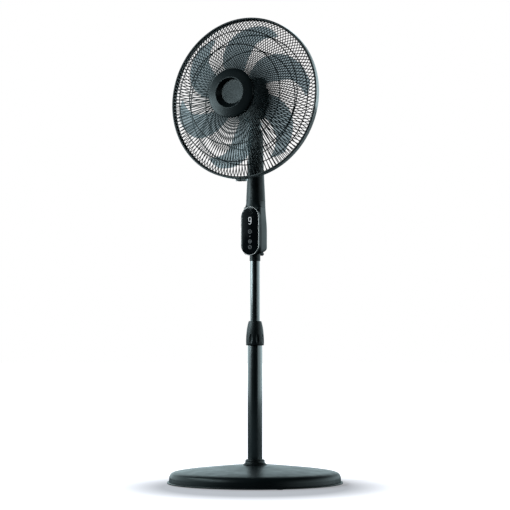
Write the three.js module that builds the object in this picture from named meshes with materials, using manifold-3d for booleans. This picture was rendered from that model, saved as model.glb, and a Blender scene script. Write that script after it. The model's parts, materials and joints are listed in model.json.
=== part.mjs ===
// Pedestal fan: weighted round base, telescopic pole, control housing with a touch panel,
// tapered neck and an oscillating, tilting caged fan head.
// Millimetres, +Z up, origin at the centre of the base's underside, air blown towards -Y.

import * as THREE from 'three';
import { mergeVertices } from 'three/addons/utils/BufferGeometryUtils.js';
import Module from 'manifold-3d';

const wasm = await Module();
wasm.setup();

// ---------------------------------------------------------------- driving dimensions

const GAP = 0.3;               // clearance between pieces that touch

const BASE_R = 228;            // outer lip of the base
const BASE_TOP = 49;           // height of the dome at the pole
const BASE_WALL = 3;           // thickness of the base cover
const FOOT_H = 3;
const FOOT_COUNT = 4;
const FOOT_CIRCLE = 204;
const WEIGHT_TOP = 19;
const FLANGE_SCREW_COUNT = 3;

const BASE_SIDES = 48;

const POLE_R = 19;             // outer pole
const POLE_WALL = 1.5;
const POLE_BOTTOM = 24;
const POLE_TOP = 358.5;
const TUBE_R = 12.5;           // inner pole, slides inside the outer one
const TUBE_WALL = 1.3;
const TUBE_BOTTOM = 240;
const TUBE_TOP = 640;
const COLLAR_H = 63;           // height collar on top of the outer pole
const COLLAR_R = 23.3;
const COLLAR_TOP_R = 16.5;
const COLLAR_GRIPS = 8;

const SLEEVE_BOTTOM = 578;     // socket of the control housing
const SLEEVE_R = 14;
const SLEEVE_TOP = 646;
const SCREW_Z = 598;           // fixing screw through the socket

const HOUSING_BOTTOM = 592;    // at the front; the underside rises towards the back
const HOUSING_RISE = 14;
const HOUSING_TOP = 734.7;
const HOUSING_HALF_W = 26;
const HOUSING_FRONT = -20;
const HOUSING_BACK = 38;
const HOUSING_STRAIGHT = 11;   // where its sides start to round off towards the back
const HOUSING_WALL = 2.4;
const GLAND_Z = 630;
const PANEL_Z = 654.8;
const PANEL_W = 49;
const PANEL_H = 123;
const PANEL_FACE = -24.4;
const BEZEL_T = 1.9;

const NECK_Y = 4;              // axis of the neck and of the swivel
const NECK_TOP = 923;
const NECK_WALL = 2.2;
const SWIVEL_R = 13;
const SPINDLE_HOLE_R = 8;      // hole in the top of the neck
const SPINDLE_R = 5;
const OSCILLATION_MOTOR_TOP = 888;
const TILT_Z = 937;            // axis of the tilt bolt
const TILT_BOLT_R = 3;
const TONGUE_HALF_W = 7;
const REST_TILT = THREE.MathUtils.degToRad(4);   // nose up as it stands

// The head is modelled level: its depths are measured forward of the pole's axis.
const FAN_Z = 992.6;           // height of the fan axis
const TILT_Y = TILT_Z - FAN_Z;
const NECK_DEPTH = -NECK_Y;
const CAN_R = 24.5;            // upright head shell
const CAN_WALL = 2.2;
const CAN_BOTTOM = 951.5 - FAN_Z;
const CAN_TOP = 1057.5 - FAN_Z;

const HOOP_R = 211;            // outside of the guard hoop
const HOOP_T = 4.2;            // reach of its two lips towards the axis
const HOOP_SKIN = 1.2;
const HOOP_LIP = 1.6;
const HOOP_DEPTH = 17.5;
const HOOP_MID = 64.2;
const HOOP_SCREW_R = 1.5;
const GUARD_WIRES = 24;
const WIRE = 2.2;
const GUARD_T = 2.6;
const GUARD_SWIRL = THREE.MathUtils.degToRad(14);
const CAP_R = 64;
const CAP_BACK = 136.5;
const CAP_FRONT = 147.5;
const DISC_R = 41;             // mouth of the dish in the cap
const DISH_R = 37.3;           // its floor
const DISH_FLOOR = 133.5;

const BLADE_COUNT = 6;
const BLADE_R = 192;
const BLADE_T = 2;
const HUB_R = 42;
const HUB_FRONT = 97;
const HUB_BACK = 60;
const HUB_BOSS_R = 9;
const HUB_BOSS_BACK = 72;
const SHAFT_R = 4;
const SHAFT_FIT = 0.15;        // clearance of what is pushed onto the shaft
const STATOR_R = 20;
const PIN_R = 1.5;

const NOSE_R = 15;             // tube of the head frame that carries the rear guard
const NOSE_FRONT = 38;
const PLATE_BACK = 5.4;        // motor plate of the head frame
const PLATE_FRONT = 9;
const SEAT_FRONT = 26;
const BEARING_R = 8;
const BEARING_W = 5;
const BEARING_FIT = 0.2;

// Rings of each guard, from the hub outwards: [inner radius, outer radius, depth].
const RIM_R = HOOP_R - HOOP_SKIN - 0.5;
const RIM_W = 4;
const RIM_OFFSET = HOOP_DEPTH / 2 - HOOP_LIP - GAP - GUARD_T / 2;
const FRONT_RINGS = [
  [56, 62, CAP_BACK - 2], [130, 132, 122.5], [170, 172, 106], [RIM_R - RIM_W, RIM_R, HOOP_MID + RIM_OFFSET],
];
const REAR_RINGS = [
  [NOSE_R + GAP, 36, 27.7], [130, 132, 30], [170, 172, 38], [RIM_R - RIM_W, RIM_R, HOOP_MID - RIM_OFFSET],
];

// Both edges of a blade in degrees against radius, seen from the front, anticlockwise from the right.
const CLOCKWISE_EDGE = [
  [40, 28.5], [70, 25], [95, 21.5], [120, 18], [145, 14.5], [165, 6.5], [179, -1], [186, 1.5],
  [BLADE_R, 9],
];
const COUNTER_EDGE = [
  [40, 65.5], [70, 62], [95, 59], [120, 53], [145, 45.5], [165, 37], [179, 27.5], [186, 21],
  [BLADE_R, 12],
];
// Depth of the clockwise edge and of the other one, against radius.
const REAR_EDGE = [[40, 78], [120, 79], [BLADE_R, 68]];
const FORE_EDGE = [[40, 91], [120, 98], [BLADE_R, 75]];

// ---------------------------------------------------------------- materials

const look = (color, roughness, metalness) =>
  new THREE.MeshStandardMaterial({ color, roughness, metalness });

const LOOKS = {
  charcoal: look(0x2b3234, 0.42, 0.1),
  satin: look(0x24292b, 0.35, 0.15),
  black: look(0x15181a, 0.45, 0.0),
  rubber: look(0x0d0d0e, 0.85, 0.0),
  iron: look(0x4b4d50, 0.7, 0.6),
  steel: look(0xa5a8ab, 0.3, 1.0),
  silver: look(0xc2c6c9, 0.25, 0.8),
  glass: look(0x08090b, 0.08, 0.0),
  circuit: look(0x1e5a35, 0.55, 0.1),
  copper: look(0x9a5a35, 0.4, 0.8),
  smoked: look(0x4a5456, 0.25, 0.0),
  nylon: look(0xd8d6cc, 0.5, 0.0),
  ivory: look(0xe8eef0, 0.3, 0.0),
};

// ---------------------------------------------------------------- geometry helpers

// Shared vertices only, no slivers, faces pointing out.
function weld(source) {
  const raw = source.index ? source.clone() : mergeVertices(source);
  raw.deleteAttribute('normal');
  raw.deleteAttribute('uv');
  const merged = mergeVertices(raw, 1e-4);
  const index = merged.index.array;
  const kept = [];
  for (let i = 0; i < index.length; i += 3) {
    const [a, b, c] = [index[i], index[i + 1], index[i + 2]];
    if (a !== b && b !== c && a !== c) kept.push(a, b, c);
  }
  if (signedVolume(merged.attributes.position, kept) < 0) {
    kept.reverse();
  }
  merged.setIndex(kept);
  return merged;
}

function signedVolume(position, index) {
  const [a, b, c] = [new THREE.Vector3(), new THREE.Vector3(), new THREE.Vector3()];
  let total = 0;
  for (let i = 0; i < index.length; i += 3) {
    a.fromBufferAttribute(position, index[i]);
    b.fromBufferAttribute(position, index[i + 1]);
    c.fromBufferAttribute(position, index[i + 2]);
    total += a.dot(b.cross(c));
  }
  return total / 6;
}

function toSolid(geometry) {
  const welded = weld(geometry);
  return new wasm.Manifold(new wasm.Mesh({
    numProp: 3,
    vertProperties: new Float32Array(welded.attributes.position.array),
    triVerts: new Uint32Array(welded.index.array),
  }));
}

function toGeometry(solid) {
  const mesh = solid.getMesh();
  const geometry = new THREE.BufferGeometry();
  geometry.setAttribute('position', new THREE.BufferAttribute(mesh.vertProperties, 3));
  geometry.setIndex(new THREE.BufferAttribute(mesh.triVerts, 1));
  return geometry;
}

function join(first, ...others) {
  return toGeometry(others.reduce((sum, item) => sum.add(toSolid(item)), toSolid(first)));
}

function cut(first, ...tools) {
  return toGeometry(tools.reduce((rest, item) => rest.subtract(toSolid(item)), toSolid(first)));
}

function common(first, second) {
  return toGeometry(toSolid(first).intersect(toSolid(second)));
}

// A [radius, height] profile turned about Z. It ends on the axis or closes on itself.
function turned(profile, sides = 24) {
  const points = profile.map(([r, z]) => new THREE.Vector2(r, z));
  const onAxis = profile[0][0] === 0 && profile[profile.length - 1][0] === 0;
  if (!onAxis) points.push(points[0].clone());
  return weld(new THREE.LatheGeometry(points, sides).rotateX(Math.PI / 2));
}

function rod(radius, low, high, sides = 20) {
  return turned([[0, low], [radius, low], [radius, high], [0, high]], sides);
}

function tube(inner, outer, low, high, sides = 24) {
  return turned([[inner, low], [outer, low], [outer, high], [inner, high]], sides);
}

function block(low, high) {
  const size = high.map((value, i) => value - low[i]);
  const centre = high.map((value, i) => (value + low[i]) / 2);
  return weld(new THREE.BoxGeometry(...size).translate(...centre));
}

// Six-sided nut with a round hole.
function hexNut(hole, outer, low, high) {
  return cut(rod(outer, low, high, 6), rod(hole, low - 1, high + 1, 16));
}

const alongX = (geometry) => geometry.clone().rotateY(Math.PI / 2);
const alongY = (geometry) => geometry.clone().rotateX(Math.PI / 2);
const moved = (geometry, x, y, z) => geometry.clone().translate(x, y, z);

// A closed skin over rows of points; every row goes round the same way.
function loft(rows) {
  const count = rows[0].length;
  const vertices = rows.flat(2);
  const index = [];
  for (let i = 0; i + 1 < rows.length; i++) {
    for (let j = 0; j < count; j++) {
      const a = i * count + j;
      const b = i * count + (j + 1) % count;
      index.push(a, b, b + count, a, b + count, a + count);
    }
  }
  [0, rows.length - 1].forEach((row, end) => {
    const centre = [0, 1, 2].map((axis) => rows[row].reduce((sum, p) => sum + p[axis], 0) / count);
    const hub = vertices.length / 3;
    vertices.push(...centre);
    for (let j = 0; j < count; j++) {
      const a = row * count + j;
      const b = row * count + (j + 1) % count;
      index.push(...(end ? [hub, a, b] : [hub, b, a]));
    }
  });
  const geometry = new THREE.BufferGeometry();
  geometry.setAttribute('position', new THREE.Float32BufferAttribute(vertices, 3));
  geometry.setIndex(index);
  return weld(geometry);
}

// An upright outline with round ends, extruded along Y from its front face backwards.
function stadium(width, height, front, depth, z) {
  const r = width / 2;
  const straight = height / 2 - r;
  const shape = new THREE.Shape();
  shape.absarc(0, straight, r, 0, Math.PI);
  shape.absarc(0, -straight, r, Math.PI, 2 * Math.PI);
  const solid = new THREE.ExtrudeGeometry(shape, { depth, bevelEnabled: false, curveSegments: 12 });
  return weld(solid.rotateX(Math.PI / 2).translate(0, front + depth, z));
}

// Linear reading of a table of [where, value] rows.
function along(table, where) {
  const next = table.findIndex(([at]) => at >= where);
  if (next < 0) return table[table.length - 1][1];
  if (next === 0) return table[0][1];
  const [[a, from], [b, to]] = [table[next - 1], table[next]];
  return from + (to - from) * (where - a) / (b - a);
}

function put(parent, name, geometry, material) {
  const mesh = new THREE.Mesh(geometry, material);
  mesh.name = name;
  parent.add(mesh);
  return mesh;
}

function ringOf(count, radius, start, place) {
  for (let i = 0; i < count; i++) {
    const angle = start + i * 2 * Math.PI / count;
    place(i + 1, radius * Math.cos(angle), radius * Math.sin(angle));
  }
}

// ---------------------------------------------------------------- base

function makeBase() {
  const base = new THREE.Group();
  const lipTop = 6.5;
  const wallR = 223;
  const dome = [
    [wallR, lipTop + GAP], [219, 18], [215, 23], [208, 27.5], [168, 35.5], [84, 46], [43, BASE_TOP],
  ];
  const hole = POLE_R + GAP;
  put(base, 'base_cover', turned([
    ...dome, [hole, BASE_TOP], [hole, BASE_TOP - BASE_WALL], [43, BASE_TOP - BASE_WALL],
    [168, 35.5 - BASE_WALL], [208 - BASE_WALL, 27.5 - BASE_WALL], [215 - BASE_WALL, 20],
    [wallR - BASE_WALL, lipTop + GAP],
  ], BASE_SIDES), LOOKS.charcoal);

  put(base, 'base_ring', turned([
    [190, FOOT_H - 1], [BASE_R - 1, FOOT_H - 1], [BASE_R, FOOT_H], [BASE_R - 1, lipTop],
    [216, lipTop], [216, FOOT_H + 1.5], [190, FOOT_H + 1.5],
  ], BASE_SIDES), LOOKS.black);

  const weight = turned([
    [POLE_R + 1, FOOT_H + 2], [211, FOOT_H + 2], [213, 8], [206, WEIGHT_TOP], [POLE_R + 1, WEIGHT_TOP],
  ], 36);
  put(base, 'base_weight', weight, LOOKS.iron);

  const pad = turned([[0, 0], [9, 0], [10, 1], [10, FOOT_H - 1 - GAP], [0, FOOT_H - 1 - GAP]], 12);
  ringOf(FOOT_COUNT, FOOT_CIRCLE, Math.PI / FOOT_COUNT, (number, x, y) => {
    put(base, `rubber_foot_${number}`, pad, LOOKS.rubber).position.set(x, y, 0);
  });

  const socketR = POLE_R - POLE_WALL - GAP;
  const flangeR = 52;
  const flangeLow = WEIGHT_TOP + GAP;
  const flangeTop = flangeLow + 4;
  const screwCircle = 38;
  const socket = turned([
    [12, flangeLow], [flangeR, flangeLow], [flangeR, flangeTop], [socketR, flangeTop],
    [socketR, 70], [14, 70], [14, flangeTop], [12, flangeTop],
  ], 24);
  const bores = [];
  ringOf(FLANGE_SCREW_COUNT, screwCircle, Math.PI / 6, (number, x, y) => {
    bores.push(moved(rod(3.3, flangeLow - 1, flangeTop + 1, 8), x, y, 0));
  });
  put(base, 'pole_flange', cut(socket, ...bores), LOOKS.steel);

  const screw = turned([
    [0, flangeLow + GAP], [3, flangeLow + GAP], [3, flangeTop + GAP], [5.5, flangeTop + GAP],
    [5.5, flangeTop + 2.5], [4, flangeTop + 3.8], [0, flangeTop + 3.8],
  ], 10);
  ringOf(FLANGE_SCREW_COUNT, screwCircle, Math.PI / 6, (number, x, y) => {
    put(base, `flange_screw_${number}`, screw, LOOKS.steel).position.set(x, y, 0);
  });

  const skirtLow = BASE_TOP + GAP;
  put(base, 'base_collar', turned([
    [POLE_R + GAP, skirtLow], [31, skirtLow], [30.5, 51.5], [27.5, 53], [25.5, 56], [25, 61.5],
    [22.5, 63.5], [POLE_R + GAP, 63.5],
  ], 24), LOOKS.black);
  return base;
}

// ---------------------------------------------------------------- pole and height collar

function makePole() {
  const pole = new THREE.Group();
  put(pole, 'outer_pole', tube(POLE_R - POLE_WALL, POLE_R, POLE_BOTTOM, POLE_TOP), LOOKS.satin);

  // The bush lines the mouth of the outer pole; its split collar closes on the inner pole.
  const bushOut = POLE_R - POLE_WALL - GAP;
  const bushIn = TUBE_R + GAP;
  const fingersOut = 14.6;
  const bush = turned([
    [bushIn, POLE_TOP - 40], [bushOut, POLE_TOP - 40], [bushOut, POLE_TOP + GAP], [POLE_R, POLE_TOP + GAP],
    [POLE_R, POLE_TOP + 4], [16.5, POLE_TOP + 4], [fingersOut, POLE_TOP + 30],
    [fingersOut, POLE_TOP + 42], [bushIn, POLE_TOP + 42],
  ], 24);
  const slots = [0, 1].map((turn) => {
    const slot = block([-POLE_R - 1, -0.8, POLE_TOP + 8], [POLE_R + 1, 0.8, POLE_TOP + 60]);
    return slot.rotateZ(turn * Math.PI / 2);
  });
  put(pole, 'pole_bush', cut(bush, ...slots), LOOKS.nylon);
  return pole;
}

// A knob with upright oval grips pressed into its lower part.
function makeHeightCollar() {
  const sides = 4 * COLLAR_GRIPS;
  const outline = [
    [0, 22.2], [3, COLLAR_R], [12, COLLAR_R], [24, 22.8], [34, 21.6], [42, 20.6], [COLLAR_H - 2, 17],
    [COLLAR_H, COLLAR_TOP_R],
  ];
  const gripTop = 42;
  const gripDepth = 1.6;
  const rows = outline.map(([height, radius]) => {
    const rise = Math.max(0, Math.sin(Math.PI * (height - 3) / (gripTop - 3)));
    const deep = height > 3 && height < gripTop ? gripDepth * Math.sqrt(rise) : 0;
    return Array.from({ length: sides }, (_, i) => {
      const angle = i * 2 * Math.PI / sides;
      const wave = Math.max(0, Math.cos(COLLAR_GRIPS * angle));
      const r = radius - deep * wave;
      return [r * Math.cos(angle), r * Math.sin(angle), POLE_TOP + height];
    });
  });
  const bore = turned([
    [0, POLE_TOP - 1], [POLE_R + GAP, POLE_TOP - 1], [POLE_R + GAP, POLE_TOP + 6], [17.4, POLE_TOP + 6],
    [TUBE_R + 2.5, POLE_TOP + 32], [TUBE_R + 2.5, POLE_TOP + 44], [TUBE_R + GAP, POLE_TOP + 48],
    [TUBE_R + GAP, POLE_TOP + COLLAR_H + 1], [0, POLE_TOP + COLLAR_H + 1],
  ], 24);
  const collar = new THREE.Group();
  put(collar, 'height_collar', cut(loft(rows), bore), LOOKS.black);
  return collar;
}

function makeInnerPole() {
  const riser = new THREE.Group();
  const inner = TUBE_R - TUBE_WALL;
  const screwHole = moved(alongY(rod(3.4, -20, 0, 10)), 0, 0, SCREW_Z);
  put(riser, 'inner_pole', cut(tube(inner, TUBE_R, TUBE_BOTTOM, TUBE_TOP), screwHole), LOOKS.silver);

  const guide = POLE_R - POLE_WALL - GAP;
  put(riser, 'pole_end_plug', turned([
    [6, TUBE_BOTTOM - 10], [guide, TUBE_BOTTOM - 10], [guide, TUBE_BOTTOM - GAP],
    [inner - GAP, TUBE_BOTTOM - GAP], [inner - GAP, TUBE_BOTTOM + 14], [6, TUBE_BOTTOM + 14],
  ], 24), LOOKS.nylon);
  return riser;
}

// ---------------------------------------------------------------- control housing

// Flat front, straight sides and a rounded back, turning into the round neck at the top.
function housingRow(height, inset, shrink, toNeck) {
  const side = 12;
  const cornerSteps = 2;
  const halfW = HOUSING_HALF_W - inset - shrink;
  const front = HOUSING_FRONT + inset + shrink * 0.3;
  const depth = HOUSING_BACK - inset - shrink - HOUSING_STRAIGHT;
  const row = [];
  for (let i = 0; i <= side; i++) {
    const angle = Math.PI * i / side;
    row.push([halfW * Math.cos(angle), HOUSING_STRAIGHT + depth * Math.sin(angle)]);
  }
  const corner = 7;
  for (let i = 0; i <= cornerSteps; i++) {
    const angle = Math.PI + Math.PI / 2 * i / cornerSteps;
    row.push([-halfW + corner + corner * Math.cos(angle), front + corner + corner * Math.sin(angle)]);
  }
  for (let i = 0; i <= cornerSteps; i++) {
    const angle = -Math.PI / 2 + Math.PI / 2 * i / cornerSteps;
    row.push([halfW - corner + corner * Math.cos(angle), front + corner + corner * Math.sin(angle)]);
  }
  const neckR = neckRadius(HOUSING_TOP) - inset;
  const rise = HOUSING_RISE * Math.max(0, 1 - (height - HOUSING_BOTTOM) / 60);
  return row.map(([x, y]) => {
    const back = (y - HOUSING_FRONT) / (HOUSING_BACK - HOUSING_FRONT);
    const lift = rise * Math.sin(Math.PI / 2 * back);
    const angle = Math.atan2(y - NECK_Y, x);
    const round = [neckR * Math.cos(angle), NECK_Y + neckR * Math.sin(angle)];
    return [x + (round[0] - x) * toNeck, y + (round[1] - y) * toNeck, height + lift];
  });
}

function housingSolid(inset) {
  const stations = [
    [HOUSING_BOTTOM, 8, 0], [HOUSING_BOTTOM + 3, 3.5, 0], [HOUSING_BOTTOM + 9, 0.8, 0],
    [HOUSING_BOTTOM + 16, 0, 0], [708, 0, 0], [717, 0, 0.2], [727, 0, 0.7], [HOUSING_TOP, 0, 1],
  ];
  return loft(stations.map(([height, shrink, toNeck], i) => {
    const lift = i === 0 ? inset : 0;
    return housingRow(height + lift, inset, shrink, toNeck);
  }));
}

function neckRadius(z) {
  return along([
    [HOUSING_TOP, 25], [760, 23.8], [787, 22.5], [820, 21.3], [860, 20], [900, 19.3], [NECK_TOP, 19.3],
  ], z);
}

function makeControlHousing() {
  const housing = new THREE.Group();
  const panelDepth = 2.6;
  const seat = HOUSING_FRONT - 1;
  const bezelOut = [PANEL_W + 2 * BEZEL_T, PANEL_H + 2 * BEZEL_T];

  // The shell is open at the front, where the panel closes it, and at the pole.
  const outer = housingSolid(0);
  const topHole = rod(neckRadius(HOUSING_TOP) - 6, HOUSING_TOP - 12, HOUSING_TOP + 1, 32);
  const shell = cut(
    outer,
    housingSolid(HOUSING_WALL),
    stadium(PANEL_W - 4, PANEL_H - 4, HOUSING_FRONT - 2, 10, PANEL_Z),
    moved(topHole, 0, NECK_Y, 0),
    rod(SLEEVE_R + GAP, HOUSING_BOTTOM - 1, HOUSING_BOTTOM + 26),
    moved(alongY(rod(4.3, -40, -20, 16)), 0, 0, GLAND_Z),
  );
  put(housing, 'control_housing', shell, LOOKS.charcoal);

  const bezel = cut(
    stadium(bezelOut[0], bezelOut[1], PANEL_FACE - 0.3, seat - PANEL_FACE + 0.6, PANEL_Z),
    stadium(PANEL_W, PANEL_H, PANEL_FACE - 1, 10, PANEL_Z),
  );
  put(housing, 'panel_bezel', bezel, LOOKS.silver);
  put(housing, 'touch_panel',
    stadium(PANEL_W - 2 * GAP, PANEL_H - 2 * GAP, PANEL_FACE, panelDepth, PANEL_Z), LOOKS.glass);

  const boardFront = PANEL_FACE + panelDepth + 5;
  const boardHalf = 17;
  const board = block([-boardHalf, boardFront, PANEL_Z - 48], [boardHalf, boardFront + 1.6, PANEL_Z + 50]);
  const screwX = 12;
  const screwZ = [PANEL_Z - 42, PANEL_Z + 44];
  const boardHoles = screwZ.map((z) => moved(alongY(rod(1.8, -30, 0, 8)), screwX, boardFront - 15, z));
  put(housing, 'control_board', cut(board, ...boardHoles), LOOKS.circuit);
  screwZ.forEach((z, i) => {
    const screw = turned([[0, 0], [3, 0], [3, 1.8], [1.4, 1.8], [1.4, 4.6], [0, 4.6]], 10);
    const mesh = put(housing, `board_screw_${i + 1}`, alongY(screw), LOOKS.steel);
    mesh.position.set(screwX, boardFront + 1.6 + 1.8 + GAP, z);
  });
  const display = block([-9, PANEL_FACE + panelDepth + GAP, 669], [9, boardFront - GAP, 697]);
  put(housing, 'digit_display', display, LOOKS.ivory);

  // Socket that takes the pole; the fixing screw threads into its rear side.
  const socket = cut(
    tube(TUBE_R + GAP, SLEEVE_R, SLEEVE_BOTTOM, SLEEVE_TOP),
    moved(alongY(rod(3.4, -20, 0, 10)), 0, 0, SCREW_Z),
  );
  put(housing, 'pole_socket', socket, LOOKS.black);

  const gland = turned([
    [2.6, 0], [6.5, 0], [6.5, 2.4], [3.9, 2.4], [3.9, 7], [2.6, 7],
  ], 16);
  const glandMesh = put(housing, 'cord_gland', alongY(gland), LOOKS.rubber);
  glandMesh.position.set(0, HOUSING_BACK + 2.4 + GAP, GLAND_Z);
  return housing;
}

// Thumb screw at the back of the pole socket.
function makeFixingScrew() {
  const group = new THREE.Group();
  const screw = turned([
    [0, 0], [3, 0], [3, 16], [4.2, 16], [4.8, 17.5], [4.8, 31], [4, 32.5], [0, 32.5],
  ], 20);
  put(group, 'fixing_screw', alongY(screw).rotateZ(Math.PI), LOOKS.black).position.set(0, 11, SCREW_Z);
  return group;
}

// ---------------------------------------------------------------- neck and swivel

function makeNeck() {
  const neck = new THREE.Group();
  neck.position.set(0, NECK_Y, 0);
  const heights = [HOUSING_TOP + GAP, 787, 840, 905];
  const outside = heights.map((z) => [neckRadius(z), z]);
  const domeR = SWIVEL_R + 0.5;
  const dome = [[18.8, 913], [17, 919], [domeR, NECK_TOP]];
  const roof = NECK_TOP - 5;
  const inside = heights.slice().reverse().map((z) => [neckRadius(z) - NECK_WALL, z]);
  put(neck, 'neck_column', turned([
    ...outside, ...dome, [SPINDLE_HOLE_R, NECK_TOP], [SPINDLE_HOLE_R, roof], [14, roof], [16.8, 910],
    ...inside,
  ], 24), LOOKS.charcoal);

  const sleeve = SPINDLE_HOLE_R - GAP;
  const flange = SPINDLE_HOLE_R + 3;
  const bore = SPINDLE_R + BEARING_FIT;
  put(neck, 'oscillation_bearing', turned([
    [bore, roof - 6], [flange, roof - 6], [flange, roof - GAP], [sleeve, roof - GAP],
    [sleeve, NECK_TOP], [bore, NECK_TOP],
  ], 24), LOOKS.nylon);

  const motor = rod(15, OSCILLATION_MOTOR_TOP - 26, OSCILLATION_MOTOR_TOP, 24);
  put(neck, 'oscillation_motor', motor, LOOKS.steel);
  return neck;
}

function makeSwivel() {
  const swivel = new THREE.Group();
  swivel.position.set(0, NECK_Y, TILT_Z);
  const floor = NECK_TOP + GAP - TILT_Z;
  const plate = floor + 5;
  const cheekIn = 8.2;
  const cheekOut = 11.2;
  const cheekDepth = 8;
  const cheeks = [-1, 1].map((side) => {
    const slab = block(
      [Math.min(side * cheekIn, side * cheekOut), -cheekDepth, plate - 1],
      [Math.max(side * cheekIn, side * cheekOut), cheekDepth, 0],
    );
    const eye = alongX(rod(cheekDepth, cheekIn, cheekOut, 24));
    return join(slab, side > 0 ? eye : moved(eye, -cheekIn - cheekOut, 0, 0));
  });
  const body = join(
    rod(SWIVEL_R, floor, plate, 32),
    rod(SPINDLE_R, OSCILLATION_MOTOR_TOP + GAP - TILT_Z, floor + 1, 20),
    ...cheeks,
  );
  const boltHole = TILT_BOLT_R + SHAFT_FIT;
  put(swivel, 'pivot_fork', cut(body, alongX(rod(boltHole, -20, 20, 16))), LOOKS.satin);

  const boltLow = cheekOut + GAP;
  put(swivel, 'tilt_bolt', alongX(turned([
    [0, -boltLow - 3.2], [5, -boltLow - 3.2], [5.8, -boltLow - 2], [5.8, -boltLow], [TILT_BOLT_R, -boltLow],
    [TILT_BOLT_R, 15.5], [0, 15.5],
  ], 16)), LOOKS.steel);
  put(swivel, 'tilt_nut', alongX(hexNut(boltHole, 5.6, boltLow, boltLow + 4)), LOOKS.steel);
  const washerX = (TONGUE_HALF_W + cheekIn) / 2 - 0.05;
  [-1, 1].forEach((side, i) => {
    const washer = alongX(tube(TILT_BOLT_R + GAP, 7, -0.35, 0.35, 12));
    put(swivel, `tilt_washer_${i + 1}`, washer, LOOKS.steel).position.x = side * washerX;
  });
  return swivel;
}

// ---------------------------------------------------------------- head, in fan coordinates
// The head group is turned so that its local Z is the fan axis, pointing forwards, and its
// local Y is up.

// Upright rounded can about the swivel axis.
function canSolid(inset) {
  const r = CAN_R - inset;
  const low = CAN_BOTTOM + inset;
  const high = CAN_TOP - inset;
  const round = 8 - inset;
  const profile = [[0, low], [r - round, low], [r - 2.2, low + 2.2], [r, low + round]];
  profile.push([r, high - round], [r - 2.2, high - 2.2], [r - round, high], [0, high]);
  return moved(turned(profile, 32).rotateX(-Math.PI / 2), 0, 0, NECK_DEPTH);
}

function makeHeadShells(head) {
  const hollow = cut(canSolid(0), canSolid(CAN_WALL));
  const tongueSlot = block([-9, CAN_BOTTOM - 1, NECK_DEPTH - 12], [9, CAN_BOTTOM + 5, NECK_DEPTH + 12]);
  const reach = 80;
  const ahead = block([-reach, -reach, NECK_DEPTH + GAP / 2], [reach, reach, reach]);
  const behind = block([-reach, -reach, -reach], [reach, reach, NECK_DEPTH - GAP / 2]);
  const nose = rod(NOSE_R + GAP, 0, 60, 24);
  put(head, 'head_shell_front', cut(common(hollow, ahead), tongueSlot, nose), LOOKS.charcoal);

  const screwSpots = [[-12, -31], [12, 46]];
  const holes = screwSpots.map(([x, y]) => moved(rod(1.9, -40, 0, 12), x, y, 0));
  put(head, 'head_shell_rear', cut(common(hollow, behind), tongueSlot, ...holes), LOOKS.charcoal);
  const backAt = (x) => NECK_DEPTH - Math.sqrt(CAN_R ** 2 - x ** 2);
  screwSpots.forEach(([x, y], i) => {
    const headBase = backAt(Math.abs(x) - 3.2) - GAP;
    const screw = turned([
      [0, headBase - 1.8], [2.4, headBase - 1.8], [3, headBase - 1], [3, headBase], [1.5, headBase],
      [1.5, headBase + 12], [0, headBase + 12],
    ], 10);
    put(head, `shell_screw_${i + 1}`, screw, LOOKS.steel).position.set(x, y, 0);
  });
}

// Cast frame: motor plate with a nose tube, and the tongue held by the fork.
function makeHeadFrame(head) {
  const seat = BEARING_R + BEARING_FIT;
  const plate = turned([
    [SHAFT_R + 1, PLATE_BACK], [16.5, PLATE_BACK], [16.5, PLATE_FRONT], [NOSE_R, PLATE_FRONT],
    [NOSE_R, NOSE_FRONT], [seat, NOSE_FRONT], [seat, NOSE_FRONT - BEARING_W - 1],
    [SHAFT_R + 1, NOSE_FRONT - BEARING_W - 1],
  ], 24);
  const half = TONGUE_HALF_W;
  const web = block([-half, -34, PLATE_BACK], [half, -8, PLATE_FRONT]);
  const arm = block([-half, CAN_BOTTOM + 7, NECK_DEPTH - 8], [half, -22, PLATE_FRONT]);
  const tongue = block([-half, TILT_Y, NECK_DEPTH - 8], [half, CAN_BOTTOM + 8, NECK_DEPTH + 8]);
  const eye = moved(alongX(rod(8, -half, half, 24)), 0, TILT_Y, NECK_DEPTH);
  const boltHole = moved(alongX(rod(TILT_BOLT_R + GAP, -20, 20, 16)), 0, TILT_Y, NECK_DEPTH);
  put(head, 'head_frame', cut(join(plate, web, arm, tongue, eye), boltHole), LOOKS.iron);

  put(head, 'guard_seat', turned([
    [NOSE_R + GAP, 21.3], [24, 21.3], [31, 23.5], [31, SEAT_FRONT], [NOSE_R + GAP, SEAT_FRONT],
  ], 24), LOOKS.black);
}

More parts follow.
